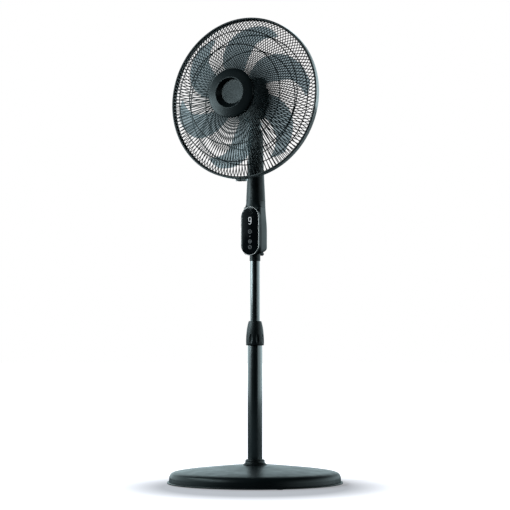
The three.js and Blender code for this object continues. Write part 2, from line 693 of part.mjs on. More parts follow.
function makeMotor(head, rotor) {
  put(head, 'motor_stator', tube(12.4, STATOR_R, -13, 5, 32), LOOKS.copper);
  const seat = BEARING_R + BEARING_FIT;
  put(head, 'motor_end_plate', turned([
    [SHAFT_R + 1, -16.5], [seat, -16.5], [seat, -22], [11, -22], [11, -15.2], [18.6, -15.2], [18.6, -13.4],
    [SHAFT_R + 1, -13.4],
  ], 24), LOOKS.iron);
  const bearing = tube(SHAFT_R + 0.1, BEARING_R, 0, BEARING_W, 20);
  put(head, 'rear_bearing', bearing, LOOKS.steel).position.z = -21.8;
  put(head, 'front_bearing', bearing, LOOKS.steel).position.z = NOSE_FRONT - BEARING_W - 0.5;
  put(head, 'driver_board', block([-16, 24, -6], [16, 54, -4.4]), LOOKS.circuit);

  const pinZ = HUB_BOSS_BACK - PIN_R - 0.6;
  const pinHole = moved(alongX(rod(PIN_R + 0.1, -9, 9, 10)), 0, 0, pinZ);
  put(rotor, 'motor_shaft', cut(rod(SHAFT_R, -22, HUB_FRONT + 9, 20), pinHole), LOOKS.steel);
  put(rotor, 'motor_rotor', tube(SHAFT_R + 0.05, 11.8, -12, 4, 32), LOOKS.iron);
  put(rotor, 'drive_pin', alongX(rod(PIN_R, -8, 8, 10)), LOOKS.steel).position.z = pinZ;
}

// ---------------------------------------------------------------- blades

// One blade, anticlockwise from the right by the given turn in degrees.
function bladeSolid(turn) {
  const chord = 3;
  const camber = 3;
  const radii = [HUB_R - 1, 70, 100, 130, 155, 170, 181, 188, BLADE_R];
  return loft(radii.map((r) => {
    const points = [];
    for (let side = 0; side < 2; side++) {
      for (let i = 0; i <= chord; i++) {
        const v = side ? 1 - i / chord : i / chord;
        const from = along(CLOCKWISE_EDGE, r);
        const to = along(COUNTER_EDGE, r);
        const angle = THREE.MathUtils.degToRad(turn + from + (to - from) * v);
        const arch = camber * (1 - (2 * v - 1) ** 2);
        const flat = along(REAR_EDGE, r) + (along(FORE_EDGE, r) - along(REAR_EDGE, r)) * v;
        const depth = flat - arch + (side ? BLADE_T : 0);
        points.push([r * Math.cos(angle), r * Math.sin(angle), depth]);
      }
    }
    return points;
  }));
}

function makeBlades(rotor) {
  const bore = SHAFT_R + SHAFT_FIT;
  const hub = turned([
    [bore, HUB_BOSS_BACK], [HUB_BOSS_R, HUB_BOSS_BACK], [HUB_BOSS_R, HUB_FRONT - 3],
    [HUB_R - 2.2, HUB_FRONT - 5], [HUB_R - 2.2, HUB_BACK], [HUB_R, HUB_BACK], [HUB_R, HUB_FRONT - 4],
    [HUB_R - 4, HUB_FRONT], [bore, HUB_FRONT],
  ], 24);
  const blades = [];
  for (let i = 0; i < BLADE_COUNT; i++) {
    blades.push(bladeSolid(i * 360 / BLADE_COUNT));
  }
  put(rotor, 'fan_blade', join(hub, ...blades), LOOKS.smoked);
  put(rotor, 'blade_nut', turned([
    [0, HUB_FRONT + 10], [bore, HUB_FRONT + 10], [bore, HUB_FRONT + GAP], [16, HUB_FRONT + GAP],
    [16, HUB_FRONT + 5], [12, HUB_FRONT + 13], [7, HUB_FRONT + 15], [0, HUB_FRONT + 15.5],
  ], 24), LOOKS.black);
}

// ---------------------------------------------------------------- guards

// A dished lattice of wires and rings as one skin. Each crossing is a small block of eight corners,
// and neighbouring blocks are bridged along the ring and along the wire.
function guardSolid(rings, swirl) {
  const vertices = [];
  const corner = {};
  const span = rings[rings.length - 1][1] - rings[0][0];
  rings.forEach(([inner, outer, depth], m) => {
    for (let n = 0; n < GUARD_WIRES; n++) {
      [[inner, -1], [inner, 1], [outer, 1], [outer, -1]].forEach(([r, side], c) => {
        const wire = 2 * Math.PI * n / GUARD_WIRES + swirl * (r - rings[0][0]) / span;
        const angle = wire + side * WIRE / 2 / r;
        [-1, 1].forEach((face) => {
          corner[[m, n, c, face]] = vertices.length / 3;
          vertices.push(r * Math.cos(angle), r * Math.sin(angle), depth + face * GUARD_T / 2);
        });
      });
    }
  });
  const index = [];
  const quad = (a, b, c, d) => index.push(a, b, c, a, c, d);
  // Four faces between edge (i, j) of one block and edge (k, l) of the next, going anticlockwise.
  const bridge = (m, n, i, j, m2, n2, k, l) => {
    const at = (mm, nn, c, face) => corner[[mm, nn, c, face]];
    quad(at(m, n, i, 1), at(m, n, j, 1), at(m2, n2, k, 1), at(m2, n2, l, 1));
    quad(at(m, n, j, -1), at(m, n, i, -1), at(m2, n2, l, -1), at(m2, n2, k, -1));
    quad(at(m, n, i, -1), at(m, n, i, 1), at(m2, n2, l, 1), at(m2, n2, l, -1));
    quad(at(m, n, j, 1), at(m, n, j, -1), at(m2, n2, k, -1), at(m2, n2, k, 1));
  };
  for (let m = 0; m < rings.length; m++) {
    for (let n = 0; n < GUARD_WIRES; n++) {
      const next = (n + 1) % GUARD_WIRES;
      const at = (c, face) => corner[[m, n, c, face]];
      quad(at(0, 1), at(3, 1), at(2, 1), at(1, 1));
      quad(at(0, -1), at(1, -1), at(2, -1), at(3, -1));
      bridge(m, n, 1, 2, m, next, 3, 0);
      if (m + 1 < rings.length) {
        bridge(m, n, 2, 3, m + 1, n, 0, 1);
      } else {
        quad(at(2, 1), at(3, 1), at(3, -1), at(2, -1));
      }
      if (m === 0) {
        quad(at(0, 1), at(1, 1), at(1, -1), at(0, -1));
      }
    }
  }
  const geometry = new THREE.BufferGeometry();
  geometry.setAttribute('position', new THREE.Float32BufferAttribute(vertices, 3));
  geometry.setIndex(index);
  return weld(geometry);
}

function makeGuards(head) {
  put(head, 'rear_guard', guardSolid(REAR_RINGS, GUARD_SWIRL), LOOKS.black);
  put(head, 'guard_nut', turned([
    [NOSE_R + GAP, 29.8], [27, 29.8], [27, 33], [21, 37], [NOSE_R + GAP, 37],
  ], 20), LOOKS.black);
  put(head, 'front_guard', guardSolid(FRONT_RINGS, -GUARD_SWIRL), LOOKS.black);

  // The hoop wraps both rims and is drawn together by a screw at the bottom.
  const low = HOOP_MID - HOOP_DEPTH / 2;
  const high = HOOP_MID + HOOP_DEPTH / 2;
  const lipR = HOOP_R - HOOP_T;
  const skinR = HOOP_R - HOOP_SKIN;
  const hoop = turned([
    [lipR, low], [HOOP_R - 0.6, low], [HOOP_R, low + 1], [HOOP_R, high - 1], [HOOP_R - 0.6, high],
    [lipR, high], [lipR, high - HOOP_LIP], [skinR, high - HOOP_LIP], [skinR, low + HOOP_LIP],
    [lipR, low + HOOP_LIP],
  ], 48);
  const halfGap = 1;
  const split = block([-halfGap, -HOOP_R - 2, low - 1], [halfGap, -lipR + 1, high + 1]);
  const lugBottom = -HOOP_R - 5.5;
  const lugTop = 1 - HOOP_R;
  const lugEnd = 13;
  const screwY = -HOOP_R - 2.9;
  const bore = moved(alongX(rod(HOOP_SCREW_R + 0.2, -20, 20, 10)), 0, screwY, HOOP_MID);
  const splitHoop = cut(
    join(
      cut(hoop, split),
      block([halfGap, lugBottom, low + 3], [lugEnd, lugTop, high - 3]),
      block([-lugEnd, lugBottom, low + 3], [-halfGap, lugTop, high - 3]),
    ),
    bore,
  );
  put(head, 'guard_hoop', splitHoop, LOOKS.charcoal);

  const seat = lugEnd + GAP;
  const screw = turned([
    [0, -seat - 2.7], [2.4, -seat - 2.7], [2.4, -seat], [HOOP_SCREW_R, -seat], [HOOP_SCREW_R, 17], [0, 17],
  ], 10);
  put(head, 'hoop_screw', alongX(screw), LOOKS.steel).position.set(0, screwY, HOOP_MID);
  const nut = hexNut(HOOP_SCREW_R + 0.2, 2.8, seat, seat + 2.3);
  put(head, 'hoop_nut', alongX(nut), LOOKS.steel).position.set(0, screwY, HOOP_MID);
}

// Round cap in front of the wires: a sloping plate with a dish in the middle, and the dish's floor.
function makeCap(head) {
  const shelf = DISH_FLOOR - 1.5;
  put(head, 'cap_plate', turned([
    [0, shelf - 1.5], [DISH_R + 1.5, shelf - 1.5], [DISC_R + 2, CAP_BACK], [CAP_R - 1, CAP_BACK],
    [CAP_R, CAP_BACK + 2], [CAP_R - 1.5, CAP_BACK + 3.6], [DISC_R + 1.5, CAP_FRONT],
    [DISC_R, CAP_FRONT - 0.4], [DISH_R + GAP, DISH_FLOOR], [DISH_R + GAP, shelf], [0, shelf],
  ], 36), LOOKS.satin);
  put(head, 'cap_disc', rod(DISH_R, shelf + GAP, DISH_FLOOR, 36), LOOKS.charcoal);
}

function makeHead() {
  const tilted = new THREE.Group();
  tilted.position.set(0, NECK_Y, TILT_Z);
  tilted.rotation.x = -REST_TILT;
  const head = new THREE.Group();
  head.position.set(0, -NECK_Y, -TILT_Y);
  head.rotation.x = Math.PI / 2;
  tilted.add(head);
  const rotor = new THREE.Group();
  head.add(rotor);
  makeHeadShells(head);
  makeHeadFrame(head);
  makeMotor(head, rotor);
  makeBlades(rotor);
  makeGuards(head);
  makeCap(head);
  return tilted;
}

// ---------------------------------------------------------------- the fan

const group = new THREE.Group();
group.add(
  makeBase(), makePole(), makeHeightCollar(), makeInnerPole(), makeControlHousing(), makeFixingScrew(),
  makeNeck(), makeSwivel(), makeHead(),
);

export default group;
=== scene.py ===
"""Looks of the pedestal fan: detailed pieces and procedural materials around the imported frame.

Lengths are in millimetres until a mesh is made, and in metres in Blender.
"""

import json
import math

import bpy
import numpy as np
from mathutils import Matrix, Vector


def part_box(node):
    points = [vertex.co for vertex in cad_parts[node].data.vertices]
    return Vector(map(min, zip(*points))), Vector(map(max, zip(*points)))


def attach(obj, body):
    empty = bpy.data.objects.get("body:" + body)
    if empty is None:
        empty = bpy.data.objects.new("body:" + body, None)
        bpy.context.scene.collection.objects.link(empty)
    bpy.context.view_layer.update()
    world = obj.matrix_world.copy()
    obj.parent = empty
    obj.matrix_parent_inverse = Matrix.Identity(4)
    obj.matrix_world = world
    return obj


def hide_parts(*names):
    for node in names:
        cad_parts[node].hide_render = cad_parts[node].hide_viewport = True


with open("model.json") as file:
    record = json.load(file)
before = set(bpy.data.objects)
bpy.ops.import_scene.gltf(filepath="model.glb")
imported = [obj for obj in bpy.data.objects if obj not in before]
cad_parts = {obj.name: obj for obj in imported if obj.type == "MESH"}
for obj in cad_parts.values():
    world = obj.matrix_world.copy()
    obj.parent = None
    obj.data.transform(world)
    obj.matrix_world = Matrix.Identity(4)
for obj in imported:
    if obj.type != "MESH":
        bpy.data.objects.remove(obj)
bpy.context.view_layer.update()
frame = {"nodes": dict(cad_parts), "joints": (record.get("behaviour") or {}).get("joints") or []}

MM = 0.001

# ---------------------------------------------------------------- camera and studio

AZIMUTH = math.radians(27.5)      # from the fan's front, towards its left-hand side
DISTANCE = 4850                   # from the pole, along the floor
CAMERA_Z = 361.6
PITCH = math.radians(2.74)        # looking slightly up
FOCAL = 131.5
SENSOR = 36                       # its width
CLIP_END = 200                    # in metres
FLOOR_R = 30000

# Bright patches of the studio walls: azimuth of the middle, outer and inner half angle, strength.
# Azimuths are in degrees from the fan's front, towards its left-hand side as the camera stands.
STUDIO_WALLS = [
    (-102, 78, 26, 1.5),
    (112, 50, 16, 1.8),
    (157, 34, 16, 0.65),
    (178, 62, 34, 0.85),
]
WALL_TOP = (14, 38)               # the walls dim between these heights, in degrees
WALL_TOP_SHARE = 0.05             # what is left of their brightness above that
STUDIO_TINT = (0.74, 0.95, 1.0)
STUDIO_LIGHTS = {                 # azimuth, elevation, distance and size in metres, watts, seen in gloss
    "key": (-40, 32, 3.2, 0.12, 60, False),
    "low_left": (-59, -10, 1.0, 0.6, 7.8, True),
    "cap_light": (-31.5, 15, 2.5, 0.58, 17, True),
}
LIGHT_TARGET = Vector((0, 0, 1.0))
SHADOW_CENTRE = (0.046, -0.089)   # of the painted soft shadow under the fan, in metres
SHADOW_STRETCH = 1.25             # its length from front to back against its width
SHADOW_EDGES = (0.235, 0.41)      # it fades between these distances from its centre
FLOOR_GLOW = (0.35, 1.3)          # the floor's own light inside the shadow and outside it
FLOOR_BEHIND_FAN = (0.90, 0.92, 0.94)     # painted reflection: how the fan's reflections see the floor behind it
FLOOR_SEEN_BY_FAN = (0.10, 0.12, 0.13)    # and everywhere else
BEHIND_FROM = (-0.2, 0.7)         # that bright part starts at this X and Y, in metres
BEHIND_FULL = (0.4, 1.8)          # and is full from here on

# ---------------------------------------------------------------- sizes, in millimetres


def box_mm(node):
    """Lowest and highest corner of a CAD node in millimetres."""
    low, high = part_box(node)
    return [v / MM for v in low], [v / MM for v in high]


def levels(node):
    """Lowest and highest Z of a CAD node in millimetres."""
    low, high = box_mm(node)
    return low[2], high[2]


def joint(name):
    return next(j for j in frame["joints"] if j["name"] == name)


NECK_Y = joint("oscillation")["pos_m"][1] / MM
LIP_R = box_mm("base_ring")[1][0]
BASE_TOP = box_mm("base_cover")[1][2]
LIP_LOW, LIP_TOP = levels("base_ring")
SKIRT_TOP = box_mm("base_collar")[1][2]
POLE_R = box_mm("outer_pole")[1][0]
POLE_LOW, POLE_TOP = levels("outer_pole")
TUBE_R = box_mm("inner_pole")[1][0]
TUBE_LOW, TUBE_TOP = levels("inner_pole")
COLLAR_LOW, COLLAR_TOP = levels("height_collar")
SOCKET_R = box_mm("pole_socket")[1][0]
SOCKET_LOW, SOCKET_TOP = levels("pole_socket")
HOUSING_LOW, HOUSING_TOP = levels("control_housing")
HOUSING_HALF_W = box_mm("control_housing")[1][0]
HOUSING_FRONT = box_mm("control_housing")[0][1]
HOUSING_BACK = box_mm("control_housing")[1][1]
NECK_TOP = box_mm("neck_column")[1][2]
HOOP_R = box_mm("guard_hoop")[1][0]
CAP_R = box_mm("cap_plate")[1][0]

COLLAR_GRIPS = 8
HOUSING_STRAIGHT = 11             # where the housing's sides start to round off
HOUSING_RISE = 14                 # its underside rises this much towards the back
HOUSING_TUCK = 11                 # and the back rounds up by this much more
RISE_HEIGHT = 70                  # both die out this far above the housing's bottom
BOTTOM_ROUND = 9
HOUSING_LEVELS = (612, 630, 645, 655, 665, 675, 685, 693, 700, 707, 713)
FRONT_FILLET_LOW = 717            # above the panel the front sweeps back into the neck from here
FILLET_STEPS = 14
BACK_TURN_LOW = 655               # the sides and the back ease into the neck from here
FRONT_SHARE = 0.35                # over this share of the depth the front's sweep gives way to the sides'
PANEL_PROUD = 4.5                 # the panel's pod stands this much farther out than its CAD solid
HOOP_DEPTH = 17.5
HOOP_MID = 64.2                   # head depths are measured forward of the pole
HOOP_LIP_R = HOOP_R - 4.2
CAP_BACK = 136.5
CAP_FRONT = 147.5
DISH_R = 38.4
DISH_FLOOR_R = 31.5
DISH_FLOOR = 134
DISH_SHIFT = (2.5, 4.5)           # of the dish's floor, right and up
GUARD_WIRES = 135
WIRE_R = 1.2
GUARD_SWIRL = math.radians(15)
GUARD_RINGS = [(131, 1.4), (171, 1.4), (206, 2)]    # distance from the fan axis and wire radius
BLADE_COUNT = 6
BLADE_R = 192
HUB_R = 42
HUB_FRONT = 97                    # depth of its face
HUB_BACK = 60
CAN_R = 24.5
CAN_LOW, CAN_HIGH = -41.1, 64.9   # ends of the motor can, from the fan axis


def head_matrix():
    """Head coordinates: X right, Y up and Z forward from the pole, tilted back as the fan stands."""
    spin = joint("blade_spin")
    forward = Vector(spin["axis"]).normalized()
    right = Vector((1, 0, 0))
    up = forward.cross(right)
    origin = Vector(spin["pos_m"]) / MM + forward * NECK_Y
    matrix = Matrix((right, up, forward)).transposed().to_4x4()
    matrix.translation = origin
    return matrix


HEAD = head_matrix()

# ---------------------------------------------------------------- mesh helpers


def piece(name, vertices, faces, body, slot, replaces=(), look=None, sharp=35):
    """Makes a shown piece from millimetre vertices and rides it on a body.

    Its material has the name of its slot unless another look is named. Pieces of the head and the
    rotor are given in head coordinates.
    """
    points = np.asarray(vertices, float)
    if body in ("head", "rotor"):
        turn = np.array(HEAD.to_3x3())
        points = points @ turn.T + np.array(HEAD.translation)
    mesh = bpy.data.meshes.new(name)
    mesh.from_pydata((points * MM).tolist(), [], [tuple(f) for f in faces])
    mesh.validate()
    mesh.polygons.foreach_set("use_smooth", [True] * len(mesh.polygons))
    mesh.set_sharp_from_angle(angle=math.radians(sharp))
    mesh.update()
    thing = bpy.data.objects.new(name, mesh)
    bpy.context.scene.collection.objects.link(thing)
    mesh.materials.append(M[look or slot])
    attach(thing, body)
    if replaces:
        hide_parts(*replaces)
    return thing


def rounded(points, steps=5):
    """An outline of (x, y, radius) corners, with each corner that has a radius turned into an arc."""
    out = []
    count = len(points)
    for i, (x, y, radius) in enumerate(points):
        here = np.array((x, y), float)
        if radius <= 0:
            out.append(tuple(here))
            continue
        before = np.array(points[i - 1][:2], float) - here
        after = np.array(points[(i + 1) % count][:2], float) - here
        reach = min(radius, np.linalg.norm(before) * 0.49, np.linalg.norm(after) * 0.49)
        start = here + before / np.linalg.norm(before) * reach
        end = here + after / np.linalg.norm(after) * reach
        for k in range(steps + 1):
            t = k / steps
            out.append(tuple((1 - t) ** 2 * start + 2 * t * (1 - t) * here + t * t * end))
    return out


def smooth_line(points, steps=6):
    """A Catmull-Rom curve through the points."""
    pts = [np.array(p, float) for p in points]
    pts = [2 * pts[0] - pts[1], *pts, 2 * pts[-1] - pts[-2]]
    out = []
    for i in range(1, len(pts) - 2):
        a, b, c, d = pts[i - 1:i + 3]
        for k in range(steps):
            t = k / steps
            out.append(0.5 * (2 * b + (c - a) * t + (2 * a - 5 * b + 4 * c - d) * t ** 2
                              + (3 * b - a - 3 * c + d) * t ** 3))
    out.append(pts[-2])
    return [tuple(p) for p in out]


def grid_faces(rows, columns, close_rows=False, close_columns=True, first=0):
    """Quads over rows of points, row after row."""
    faces = []
    for i in range(rows if close_rows else rows - 1):
        for j in range(columns if close_columns else columns - 1):
            i2, j2 = (i + 1) % rows, (j + 1) % columns
            faces.append((first + i * columns + j, first + i * columns + j2,
                          first + i2 * columns + j2, first + i2 * columns + j))
    return faces


def turned(profile, sides=128, closed=True, centre=(0, 0)):
    """Vertices and faces of a profile of (radius, height) turned about Z.

    A profile that isn't closed starts and ends on the axis.
    """
    cx, cy = centre
    angles = circle(sides)
    if closed:
        vertices = [(cx + r * math.cos(a), cy + r * math.sin(a), z) for r, z in profile for a in angles]
        return vertices, grid_faces(len(profile), sides, close_rows=True)
    middle = profile[1:-1]
    vertices = [(cx + r * math.cos(a), cy + r * math.sin(a), z) for r, z in middle for a in angles]
    faces = grid_faces(len(middle), sides)
    last = (len(middle) - 1) * sides
    vertices += [(cx, cy, profile[0][1]), (cx, cy, profile[-1][1])]
    low, high = len(vertices) - 2, len(vertices) - 1
    for k in range(sides):
        k2 = (k + 1) % sides
        faces.append((low, k2, k))
        faces.append((high, last + k, last + k2))
    return vertices, faces


def loft(rows):
    """Vertices and faces of a skin over closed rows of points, with a cap at each end."""
    columns = len(rows[0])
    vertices = [tuple(p) for row in rows for p in row]
    faces = grid_faces(len(rows), columns)
    last = (len(rows) - 1) * columns
    faces.append(tuple(range(columns))[::-1])
    faces.append(tuple(range(last, last + columns)))
    return vertices, faces


def hollow(rows):
    """Vertices and faces of a skin over closed rows of points, its last row joined to the first."""
    return [p for row in rows for p in row], grid_faces(len(rows), len(rows[0]), close_rows=True)


def flipped(shape):
    """The shape with its faces turned the other way."""
    return shape[0], [f[::-1] for f in shape[1]]


def directions(pts, closed):
    """Unit direction of a line of points at each of its points."""
    ahead = np.roll(pts, -1, 0) - np.roll(pts, 1, 0)
    if not closed:
        ahead[0] = pts[1] - pts[0]
        ahead[-1] = pts[-1] - pts[-2]
    return ahead / np.linalg.norm(ahead, axis=1)[:, None]


def tube_along(points, radius, sides=6, closed=False):
    """Vertices and faces of a round tube along points."""
    pts = np.asarray(points, float)
    ahead = directions(pts, closed)
    reference = np.array((0.0, 0.0, 1.0)) if abs(ahead[:, 2]).max() < 0.99 else np.array((1.0, 0.0, 0.0))
    side = np.cross(ahead, reference)
    side /= np.linalg.norm(side, axis=1)[:, None]
    up = np.cross(side, ahead)
    rows = [[tuple(p + radius * (math.cos(a) * s + math.sin(a) * u)) for a in circle(sides)]
            for p, s, u in zip(pts, side, up)]
    return hollow(rows) if closed else loft(rows)


def joined(*parts):
    """Several (vertices, faces) as one."""
    vertices, faces = [], []
    for some, more in parts:
        first = len(vertices)
        vertices.extend(some)
        faces.extend(tuple(first + i for i in face) for face in more)
    return vertices, faces


def circle(sides):
    """Evenly spaced angles once round."""
    return [2 * math.pi * k / sides for k in range(sides)]


def reading(table, where):
    """The value at a place, read between the (place, value) rows of a table."""
    xs = [row[0] for row in table]
    ys = [row[1] for row in table]
    return float(np.interp(where, xs, ys))


# ---------------------------------------------------------------- materials


def new_material(name="look"):
    """A new material, its nodes and links, and its main shader."""
    material = bpy.data.materials.new(name)
    material.use_nodes = True
    nodes = material.node_tree.nodes
    return material, nodes, material.node_tree.links, nodes["Principled BSDF"]


def noise(nodes, links, scale, detail=3.0, roughness=0.5, stretch=None):
    """A noise texture fixed to the piece."""
    where = nodes.new("ShaderNodeTexCoord")
    texture = nodes.new("ShaderNodeTexNoise")
    texture.inputs["Scale"].default_value = scale
    texture.inputs["Detail"].default_value = detail
    texture.inputs["Roughness"].default_value = roughness
    if stretch is None:
        links.new(where.outputs["Object"], texture.inputs["Vector"])
    else:
        mapping = nodes.new("ShaderNodeMapping")
        mapping.inputs["Scale"].default_value = stretch
        links.new(where.outputs["Object"], mapping.inputs["Vector"])
        links.new(mapping.outputs["Vector"], texture.inputs["Vector"])
    return texture.outputs["Fac"]


def ranged(nodes, links, value, low, high, start=0.3, end=0.7, smooth=False):
    """The value between start and end mapped to low..high, and held past them."""
    mapper = nodes.new("ShaderNodeMapRange")
    mapper.interpolation_type = "SMOOTHSTEP" if smooth else "LINEAR"
    mapper.inputs["From Min"].default_value = start
    mapper.inputs["From Max"].default_value = end
    mapper.inputs["To Min"].default_value = low
    mapper.inputs["To Max"].default_value = high
    links.new(value, mapper.inputs["Value"])
    return mapper.outputs["Result"]


def blended(nodes, links, factor, first, second):
    """Two colours mixed, each a plain colour or another node's output."""
    mix = nodes.new("ShaderNodeMix")
    mix.data_type = "RGBA"
    for letter, colour in (("A", first), ("B", second)):
        if isinstance(colour, tuple):
            mix.inputs[letter].default_value = (*colour, 1)
        else:
            links.new(colour, mix.inputs[letter])
    links.new(factor, mix.inputs["Factor"])
    return mix.outputs["Result"]


def combined(nodes, links, operation, first, second):
    """Two values added or multiplied."""
    both = nodes.new("ShaderNodeMath")
    both.operation = operation
    links.new(first, both.inputs[0])
    links.new(second, both.inputs[1])
    return both.outputs[0]


def mixed(nodes, links, factor, first, second):
    """Two shaders mixed: the factor is the second one's share."""
    mix = nodes.new("ShaderNodeMixShader")
    links.new(factor, mix.inputs["Fac"])
    links.new(first, mix.inputs[1])
    links.new(second, mix.inputs[2])
    return mix.outputs[0]


def add_relief(nodes, links, shader, height, depth):
    """Fine relief on the shader's surface, its depth in millimetres."""
    bump = nodes.new("ShaderNodeBump")
    bump.inputs["Strength"].default_value = 1.0
    bump.inputs["Distance"].default_value = depth * MM
    links.new(height, bump.inputs["Height"])
    links.new(bump.outputs["Normal"], shader.inputs["Normal"])


def surface(colour, variation, rough, rough_spread, grain, depth, level=0.5, metal=0.0,
            edge_colour=None, coat=0.0, stretch=None):
    """A moulded, painted or metal surface: uneven colour and gloss, a fine grain, and lighter patches
    along sharp edges.
    """
    material, nodes, links, shader = new_material()
    shader.inputs["Metallic"].default_value = metal
    shader.inputs["Specular IOR Level"].default_value = level
    shader.inputs["Coat Weight"].default_value = coat
    shader.inputs["Coat Roughness"].default_value = 0.12
    cloud = noise(nodes, links, 14, 4)
    darker = tuple(c * (1 - variation) for c in colour)
    lighter = tuple(c * (1 + variation) for c in colour)
    tint = blended(nodes, links, ranged(nodes, links, cloud, 0, 1), darker, lighter)
    # lighter patches along sharp edges, in the edge colour
    if edge_colour is not None:
        shape = nodes.new("ShaderNodeNewGeometry")
        edge = ranged(nodes, links, shape.outputs["Pointiness"], 0, 0.6, 0.53, 0.62)
        patches = ranged(nodes, links, noise(nodes, links, 90), 0, 1)
        tint = blended(nodes, links, combined(nodes, links, "MULTIPLY", edge, patches), tint, edge_colour)
    links.new(tint, shader.inputs["Base Color"])
    fine = noise(nodes, links, grain, 2, 0.6, stretch)
    gloss = noise(nodes, links, 30, 3)
    links.new(ranged(nodes, links, gloss, rough - rough_spread, rough + rough_spread),
              shader.inputs["Roughness"])
    add_relief(nodes, links, shader, fine, depth)
    return material


def smoked():
    """Smoked see-through plastic, a little deeper in colour in soft uneven patches."""
    material, nodes, links, shader = new_material()
    cloud = noise(nodes, links, 9, 2)
    uneven = ranged(nodes, links, cloud, 0, 1)
    links.new(blended(nodes, links, uneven, (0.032, 0.049, 0.053), (0.042, 0.060, 0.065)),
              shader.inputs["Base Color"])
    links.new(ranged(nodes, links, noise(nodes, links, 40), 0.22, 0.32), shader.inputs["Roughness"])
    add_relief(nodes, links, shader, noise(nodes, links, 300, 2), 0.05)
    clear = nodes.new("ShaderNodeBsdfTransparent")
    clear.inputs["Color"].default_value = (0.86, 0.96, 1.0, 1)
    cover = ranged(nodes, links, cloud, 0.43, 0.50)
    both = mixed(nodes, links, cover, clear.outputs[0], shader.outputs[0])
    links.new(both, nodes["Material Output"].inputs["Surface"])
    return material


def lit(colour, strength, base=(0.02, 0.02, 0.022)):
    """Printed or lit marks behind the panel's glass, slightly uneven in brightness."""
    material, nodes, links, shader = new_material()
    shader.inputs["Roughness"].default_value = 0.35
    shader.inputs["Emission Strength"].default_value = strength
    uneven = ranged(nodes, links, noise(nodes, links, 120), 0, 1)
    links.new(blended(nodes, links, uneven, tuple(c * 0.88 for c in colour), colour),
              shader.inputs["Emission Color"])
    links.new(blended(nodes, links, uneven, base, tuple(c * 1.2 for c in base)),
              shader.inputs["Base Color"])
    return material


DARK = (0.0045, 0.0062, 0.0068)
M = {
    "charcoal_plastic": surface(DARK, 0.12, 0.38, 0.04, 2600, 0.012, level=0.26,
                                edge_colour=(0.02, 0.025, 0.026)),
    "charcoal_paint": surface((0.003, 0.0045, 0.005), 0.10, 0.30, 0.03, 900, 0.004, level=1.0,
                              coat=1.0, edge_colour=(0.015, 0.017, 0.017)),
    # painted reflection: the hoop's outer strip is light grey so that it looks as if it reflects the
    # bright wall behind the fan
    "painted_reflection_strip": surface((0.17, 0.165, 0.16), 0.08, 0.34, 0.04, 2400, 0.004, level=1.0, coat=1.0,
                           edge_colour=(0.2, 0.2, 0.2)),
    "black_plastic": surface((0.0035, 0.0045, 0.005), 0.15, 0.42, 0.05, 2400, 0.015, level=0.35,
                             edge_colour=(0.02, 0.022, 0.022)),
    "wire_paint": surface((0.004, 0.0055, 0.006), 0.15, 0.32, 0.05, 1500, 0.010, level=0.4),
    "smoked_plastic": smoked(),
    "panel_gloss": surface((0.0022, 0.0026, 0.0032), 0.10, 0.075, 0.015, 300, 0.002),
    "display_light": lit((0.86, 0.93, 0.97), 0.95),
    "display_icons": lit((0.30, 0.33, 0.35), 0.33),
    "silver_trim": surface((0.46, 0.41, 0.40), 0.04, 0.36, 0.03, 1800, 0.0005, metal=1.0),
    "steel": surface((0.42, 0.43, 0.44), 0.08, 0.30, 0.05, 700, 0.012, metal=1.0, stretch=(1, 1, 9)),
    "iron": surface((0.09, 0.09, 0.095), 0.25, 0.68, 0.08, 260, 0.35, metal=0.4),
    "alloy": surface((0.05, 0.055, 0.058), 0.12, 0.42, 0.06, 500, 0.05, metal=0.6),
    "copper": surface((0.48, 0.20, 0.08), 0.20, 0.36, 0.06, 900, 0.12, metal=1.0, stretch=(1, 1, 0.1)),
    "circuit": surface((0.02, 0.11, 0.045), 0.18, 0.36, 0.05, 420, 0.03),
    "nylon": surface((0.58, 0.56, 0.50), 0.06, 0.46, 0.05, 1200, 0.02),
    "rubber": surface((0.011, 0.011, 0.012), 0.20, 0.85, 0.06, 1500, 0.05),
}

for look_name, look_material in M.items():
    look_material.name = look_name

# ---------------------------------------------------------------- base and pole


